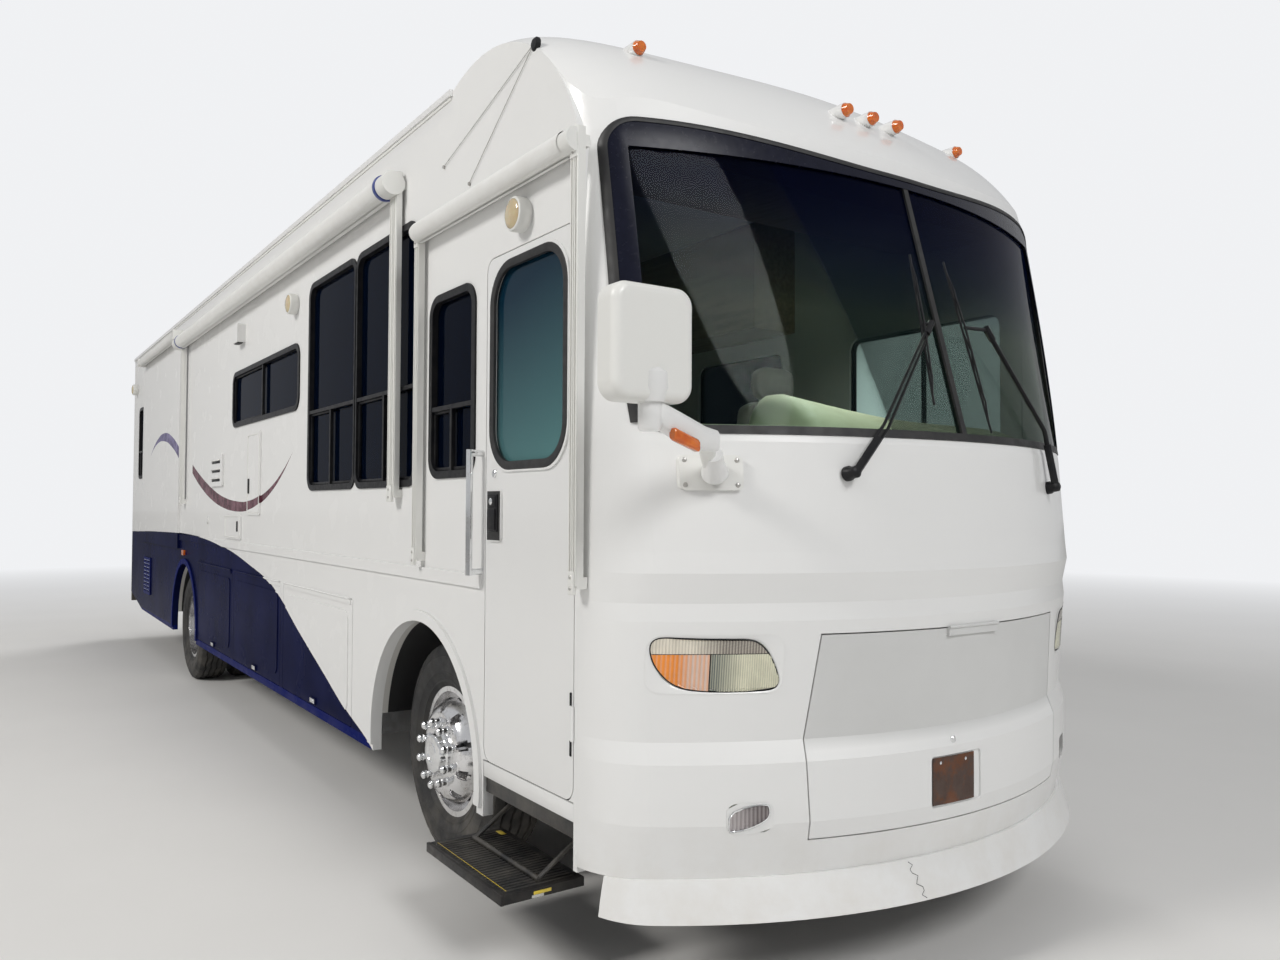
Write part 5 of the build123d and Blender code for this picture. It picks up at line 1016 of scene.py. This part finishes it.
# Windshield's painted edge, which rises at the upper corners past the solids' pane, with its rubber lip.
# Its outer edge on the left half runs from the foot of the side to the middle, as y and z.
SCREEN_HALF = 1.205
SCREEN_TOP = 2.955
SCREEN_FOOT = 1.93
SCREEN_CORNER = 2.9
half_edge = []
for k in range(14):
    z = SCREEN_FOOT + (SCREEN_CORNER - SCREEN_FOOT) * k / 13
    half_edge.append((SCREEN_HALF + 0.03 * min((z - SCREEN_FOOT) / 0.35, 1.0), z))
for k in range(1, 12):
    angle = radians(90 * k / 11)
    half_edge.append((SCREEN_HALF - 0.09 + 0.12 * cos(angle), SCREEN_CORNER + 0.118 * sin(angle)))
for k in range(1, 27):
    y = (SCREEN_HALF - 0.09) * (1 - k / 26)
    lift = min(max(y - 0.1, 0.0), 1.0)
    half_edge.append((y, SCREEN_TOP + 0.063 * lift * lift * (3 - 2 * lift)))
rows = []
lip_rows = []
for y, z in half_edge + [(-y, z) for y, z in reversed(half_edge[:-1])]:
    out = Vector((y, z))
    near = Vector((copysign(min(abs(y), SCREEN_HALF - 0.045), y), min(z, SCREEN_TOP - 0.045)))
    row = []
    for share, proud in ((0.0, -0.004), (0.0, 0.0052), (0.25, 0.0055), (0.5, 0.0055), (0.75, 0.0055), (1.0, 0.0052)):
        row.append(on_cap(*near.lerp(out, share), proud))
    rows.append(row)
    way = out - near
    way = way.normalized() if way.length > 1e-6 else Vector((0, 1))
    ring = []
    for across, proud in ((-0.012, 0.004), (-0.012, 0.0085), (-0.004, 0.0105), (0.006, 0.0085), (0.01, -0.002)):
        spot = out + way * across
        spot.x = max(min(spot.x, HALF_WIDTH - 0.012), 0.012 - HALF_WIDTH)
        ring.append(on_cap(*spot, proud))
    lip_rows.append(ring)
Piece("screen_band", screen_frit, slot="black_plastic").grid(rows).done(50.0)
Piece("screen_lip", black_rubber).grid(lip_rows).done(60.0)

# Padded cover on the dashboard, high over the gauges and low at the glass: x and share of its height
PAD_PROFILE = [(5.062, 0.0), (5.06, 0.45), (5.066, 0.78), (5.085, 0.94), (5.12, 1.0), (5.18, 0.99), (5.26, 0.9),
               (5.34, 0.74), (5.41, 0.52), (5.455, 0.3), (5.47, 0.12), (5.472, 0.0)]
PAD_FOOT = 1.862
PAD_TOP = 2.105
PAD_FROM_Y = -0.44
PAD_TO_Y = 1.12
rows = []
for k in range(41):
    y = PAD_FROM_Y + (PAD_TO_Y - PAD_FROM_Y) * k / 40
    level = PAD_TOP - 0.085 * max((y + 0.35) / 1.35, 0.0) - 0.018 * sin((y + 0.2) * 3.4)
    end = min((y - PAD_FROM_Y) / 0.11, (PAD_TO_Y - y) / 0.1, 1.0)
    rise = sqrt(max(1 - (1 - end) ** 2, 0.0))
    rows.append([(x - 0.05 * y * y * (x - 5.06) / 0.4, y, PAD_FOOT + (level - PAD_FOOT) * share * rise)
                 for x, share in PAD_PROFILE])
Piece("dash_pad", dash_plastic).grid(rows).done(60.0)

# Shelf between the dashboard and the glass: distance behind the cap's face and height
SHELF_PROFILE = [(0.33, 1.84), (0.3, 1.925), (0.25, 1.938), (0.12, 1.936), (0.045, 1.93), (0.034, 1.915),
                 (0.034, 1.86)]
SHELF_HALF = 1.15
rows = []
for k in range(49):
    y = SHELF_HALF * (k / 24 - 1)
    rows.append([(cap_x(y, SCREEN_FOOT) - inset, y, z) for inset, z in SHELF_PROFILE])
Piece("dash_shelf", dash_plastic).grid(rows).done(60.0)


# Mirror: moulded arm over the bars, knuckles, lamp under the arm and plate screws
def beam_along(piece, stations):
    """Rounded rectangular bar through stations of (x, y, z, half depth, half height), turned across Y."""
    rows = []
    for x, y, z, half_x, half_z in stations:
        ring = []
        for k in range(16):
            angle = 2 * pi * (k + 0.5) / 16
            bulge = max(abs(cos(angle)), abs(sin(angle))) ** 0.75
            ring.append((x + half_x * cos(angle) / bulge, y, z + half_z * sin(angle) / bulge))
        rows.append(ring)
    piece.rod(rows)


piece = Piece("mirror_arm", white_paint, slot="white_plastic")
beam_along(piece, [(5.75, -1.372, 1.925, 0.028, 0.03), (5.75, -1.35, 1.918, 0.031, 0.04),
                   (5.728, -1.25, 1.886, 0.031, 0.042), (5.7, -1.15, 1.862, 0.031, 0.038),
                   (5.69, -1.095, 1.857, 0.03, 0.034)])
piece.turned([(0.0, 0.0), (0.03, 0.0), (0.036, 0.01), (0.036, 0.08), (0.034, 0.09), (0.0, 0.092)],
             (5.75, -1.385, 1.872), (0, 0, 1), 24)
piece.turned([(0.0, -0.004), (0.04, -0.002), (0.052, 0.04), (0.05, 0.085), (0.03, 0.105), (0.0, 0.11)],
             (5.758, -1.388, 1.958), (0, 0, 1), 24)
piece.turned([(0.046, 0.0), (0.044, 0.02), (0.034, 0.05), (0.03, 0.11), (0.0, 0.112)], (5.59, -1.01, 1.762),
             (0.62, -0.55, 0.5), 24)
piece.done(40.0)
piece = Piece("mirror_lamp", amber_plastic)
beam_along(piece, [(5.774, -1.322, 1.866, 0.013, 0.016), (5.775, -1.316, 1.864, 0.016, 0.019),
                   (5.768, -1.226, 1.834, 0.016, 0.019), (5.767, -1.22, 1.832, 0.013, 0.016)])
piece.done(40.0)
piece = Piece("mirror_screws", bare_steel, slot="chrome_metal")
for y in (-1.083, -0.932):
    for z in (1.722, 1.805):
        piece.screw(on_cap(y, z, 0.0135), (1, y * 0.5, 0), 0.009)
piece.done()

# Hairline crack that runs down the lip under the nose, whose face leans from LIP_LOW to LIP_TOP, as z and x
LIP_LOW = (0.29, 5.86)
LIP_TOP = (0.42, 5.807)
LIP_ARC = 2.0
crack = []
for number in range(11):
    z = 0.412 - 0.0115 * number
    y = -0.3 + 0.012 * sin(number * 1.9) + 0.0035 * number
    face = LIP_LOW[1] + (LIP_TOP[1] - LIP_LOW[1]) * (z - LIP_LOW[0]) / (LIP_TOP[0] - LIP_LOW[0])
    crack.append((face - LIP_ARC + sqrt(LIP_ARC ** 2 - y * y) + 0.0002, y, z))
Piece("lip_crack", black_plastic).tube(crack, 0.0011, 5).done()


# Cab seats: crowned cushions on the solids' places, with pedestals and arm rests
def cushion(name, low, high, crown):
    """Padded block: a subdivided box whose faces swell and whose edges pull in."""
    piece = Piece(name, cabin_fabric)
    low = Vector(low)
    high = Vector(high)
    bmesh.ops.create_cube(piece.mesh, size=2.0)
    bmesh.ops.subdivide_edges(piece.mesh, edges=piece.mesh.edges, cuts=9, use_grid_fill=True)
    centre = (low + high) / 2
    half = (high - low) / 2
    for vertex in piece.mesh.verts:
        p = vertex.co.copy()
        swell = Vector()
        for axis in range(3):
            others = [abs(p[k]) for k in range(3) if k != axis]
            if abs(p[axis]) > 0.999:
                share = (1 - others[0] ** 4) * (1 - others[1] ** 4)
                swell[axis] = copysign(crown * share, p[axis])
        squeeze = 1.0 - 0.06 * (max(abs(p.x * p.y), abs(p.y * p.z), abs(p.x * p.z)) ** 3)
        vertex.co = centre + Vector(p[k] * (half[k] - crown) * squeeze for k in range(3)) + swell
    item = piece.done(80.0)
    modifier = item.modifiers.new("round", "SUBSURF")
    modifier.levels = 1
    modifier.render_levels = 1


SEATS = [(4.25, -0.33), (4.35, 0.62)]
piece = Piece("seat_pedestals", black_plastic)
for number, (x, y) in enumerate(SEATS):
    cushion("seat_base_%d" % number, (x - 0.26, y - 0.26, 1.48), (x + 0.26, y + 0.26, 1.64), 0.022)
    cushion("seat_back_%d" % number, (x - 0.33, y - 0.25, 1.6), (x - 0.19, y + 0.25, 2.23), 0.02)
    cushion("seat_head_%d" % number, (x - 0.32, y - 0.14, 2.235), (x - 0.21, y + 0.14, 2.42), 0.018)
    piece.block((x - 0.06, y - 0.13, 1.1805), (x + 0.06, y + 0.13, 1.48), 0.01)
    piece.block((x - 0.16, y - 0.29, 1.66), (x + 0.14, y - 0.26, 1.7), 0.012)
    piece.block((x - 0.16, y + 0.26, 1.66), (x + 0.14, y + 0.29, 1.7), 0.012)
piece.done(35.0, ["cab_seats"])

# Step: ribbed mat, edge, yellow trim and bare labels
STEP_TOP = 0.3225
TRIM_TOP = 0.3232
RIB_PITCH = 0.0232
piece = Piece("step_mat", black_rubber, "step_tread")
for k in range(26):
    x = 4.44 + RIB_PITCH * k
    piece.block((x, -1.485, 0.319), (x + 0.012, -1.205, STEP_TOP), 0.001, 1)
piece.done()
edge = Piece("step_edge", black_plastic, "step_tread")
edge.block((4.409, -1.512, 0.286), (5.061, -1.497, STEP_TOP), 0.003).done()
piece = Piece("step_trim", label_yellow, "step_tread", "black_plastic")
piece.block((4.44, -1.4775, STEP_TOP), (5.03, -1.4755, TRIM_TOP), 0.0003)
piece.block((4.445, -1.228, STEP_TOP), (4.5, -1.205, TRIM_TOP), 0.0003)
piece.block((5.0595, -1.385, 0.3), (5.0615, -1.315, 0.311), 0.0004)
piece.done()
label = Piece("step_label", label_white, "step_tread", "black_plastic")
label.block((5.0595, -1.392, 0.289), (5.0615, -1.345, 0.299), 0.0004).done()

# Camera at the photograph's angle
EYE = Vector((8.093, -3.039, 1.646))
YAW = radians(145.35)
PITCH = radians(1.63)
ROLL = radians(0.23)
FOCAL_PIXELS = 977.1
PHOTO_WIDTH = 1280.0
SENSOR = 36.0
ahead = Vector((cos(PITCH) * cos(YAW), cos(PITCH) * sin(YAW), sin(PITCH)))
across = ahead.cross(Vector((0, 0, 1))).normalized()
upward = across.cross(ahead)
right = across * cos(ROLL) + upward * sin(ROLL)
up = upward * cos(ROLL) - across * sin(ROLL)
camera_data = bpy.data.cameras.new("camera")
camera_data.sensor_width = SENSOR
camera_data.sensor_fit = "HORIZONTAL"
camera_data.lens = FOCAL_PIXELS / PHOTO_WIDTH * SENSOR
camera_data.clip_end = 600.0
camera = bpy.data.objects.new("camera", camera_data)
camera.matrix_world = Matrix((right, up, -ahead)).transposed().to_4x4()
camera.location = EYE
bpy.context.collection.objects.link(camera)
scene = bpy.context.scene
scene.camera = camera

# Studio: pale floor, white surroundings, three large soft lamps and a small one in the cab
BACKDROP = (0.97, 0.98, 1.0)
BACKDROP_LEVEL = 0.9
AMBIENT_LEVEL = 0.31
GLOSS_SHARE = 0.36
FLOOR_REACH = 300.0
FADE_FROM = 7.0
FADE_TO = 22.0


def seen_directly(tree):
    """1 for rays from the camera and through clear glass."""
    ray = add_node(tree, "LightPath").outputs
    return add_node(tree, "Math", [ray["Is Camera Ray"], ray["Is Transmission Ray"]], operation="MAXIMUM").outputs[0]


floor_data = bpy.data.meshes.new("floor")
floor_data.from_pydata([(FLOOR_REACH * x, FLOOR_REACH * y, 0) for x, y in ((-1, -1), (1, -1), (1, 1), (-1, 1))], [],
                       [(0, 1, 2, 3)])
studio_floor = bpy.data.objects.new("studio_floor", floor_data)
bpy.context.collection.objects.link(studio_floor)
floor_look = Shade("floor_look", 0.9)
floor_spots = floor_look.spots(0.6, 4.0, 0.3, 0.7)
floor_look.colour(floor_look.blend(floor_spots, (0.8, 0.79, 0.77), (0.77, 0.76, 0.74)))
# The floor fades into the surroundings with distance, for what the camera and clear glass see
flat = floor_look.math("SQRT", floor_look.math("ADD", floor_look.times(floor_look.x, floor_look.x),
                                               floor_look.times(floor_look.y, floor_look.y)))
far = floor_look.span(flat, FADE_FROM, FADE_TO)
share = floor_look.times(far, seen_directly(floor_look.tree))
glow = floor_look.node("Emission", {"Color": BACKDROP, "Strength": BACKDROP_LEVEL}).outputs[0]
floor_look.show(floor_look.node("MixShader", [share, floor_look.surface.outputs[0], glow]).outputs[0])
floor_data.materials.append(floor_look.material)

# The surroundings are bright to the camera, dimmer to glossy surfaces and dim as light
world = bpy.data.worlds.new("studio")
scene.world = world
world.use_nodes = True
sky = world.node_tree
gloss = add_node(sky, "LightPath").outputs["Is Glossy Ray"]
gloss = add_node(sky, "Math", [gloss, GLOSS_SHARE], operation="MULTIPLY").outputs[0]
shine = add_node(sky, "Math", [seen_directly(sky), gloss], operation="MAXIMUM").outputs[0]
level = add_node(sky, "MapRange", {0: shine, 3: AMBIENT_LEVEL, 4: BACKDROP_LEVEL}).outputs[0]
backdrop = sky.nodes["Background"]
put(sky, backdrop.inputs["Color"], BACKDROP)
put(sky, backdrop.inputs["Strength"], level)


def lamp(name, place, target, size, power, colour=(1.0, 1.0, 1.0)):
    data = bpy.data.lights.new(name, "AREA")
    data.shape = "DISK"
    data.size = size
    data.energy = power
    data.color = colour
    item = bpy.data.objects.new(name, data)
    item.location = place
    item.rotation_mode = "QUATERNION"
    item.rotation_quaternion = (Vector(target) - Vector(place)).to_track_quat("-Z", "Y")
    bpy.context.collection.objects.link(item)


lamp("key", (3.0, -14.0, 11.0), (0.5, 0, 1.4), 4.5, 1250.0, (1.0, 0.98, 0.95))
lamp("fill", (16.0, -1.0, 10.0), (3.0, 0, 1.5), 5.0, 800.0)
lamp("back", (-12.0, 8.0, 9.0), (-2.0, 0, 1.5), 7.0, 700.0)
lamp("cab_light", (5.05, 0.1, 2.8), (5.25, 0.1, 1.9), 0.5, 9.0, (1.0, 0.98, 0.92))

scene.view_settings.view_transform = "Standard"
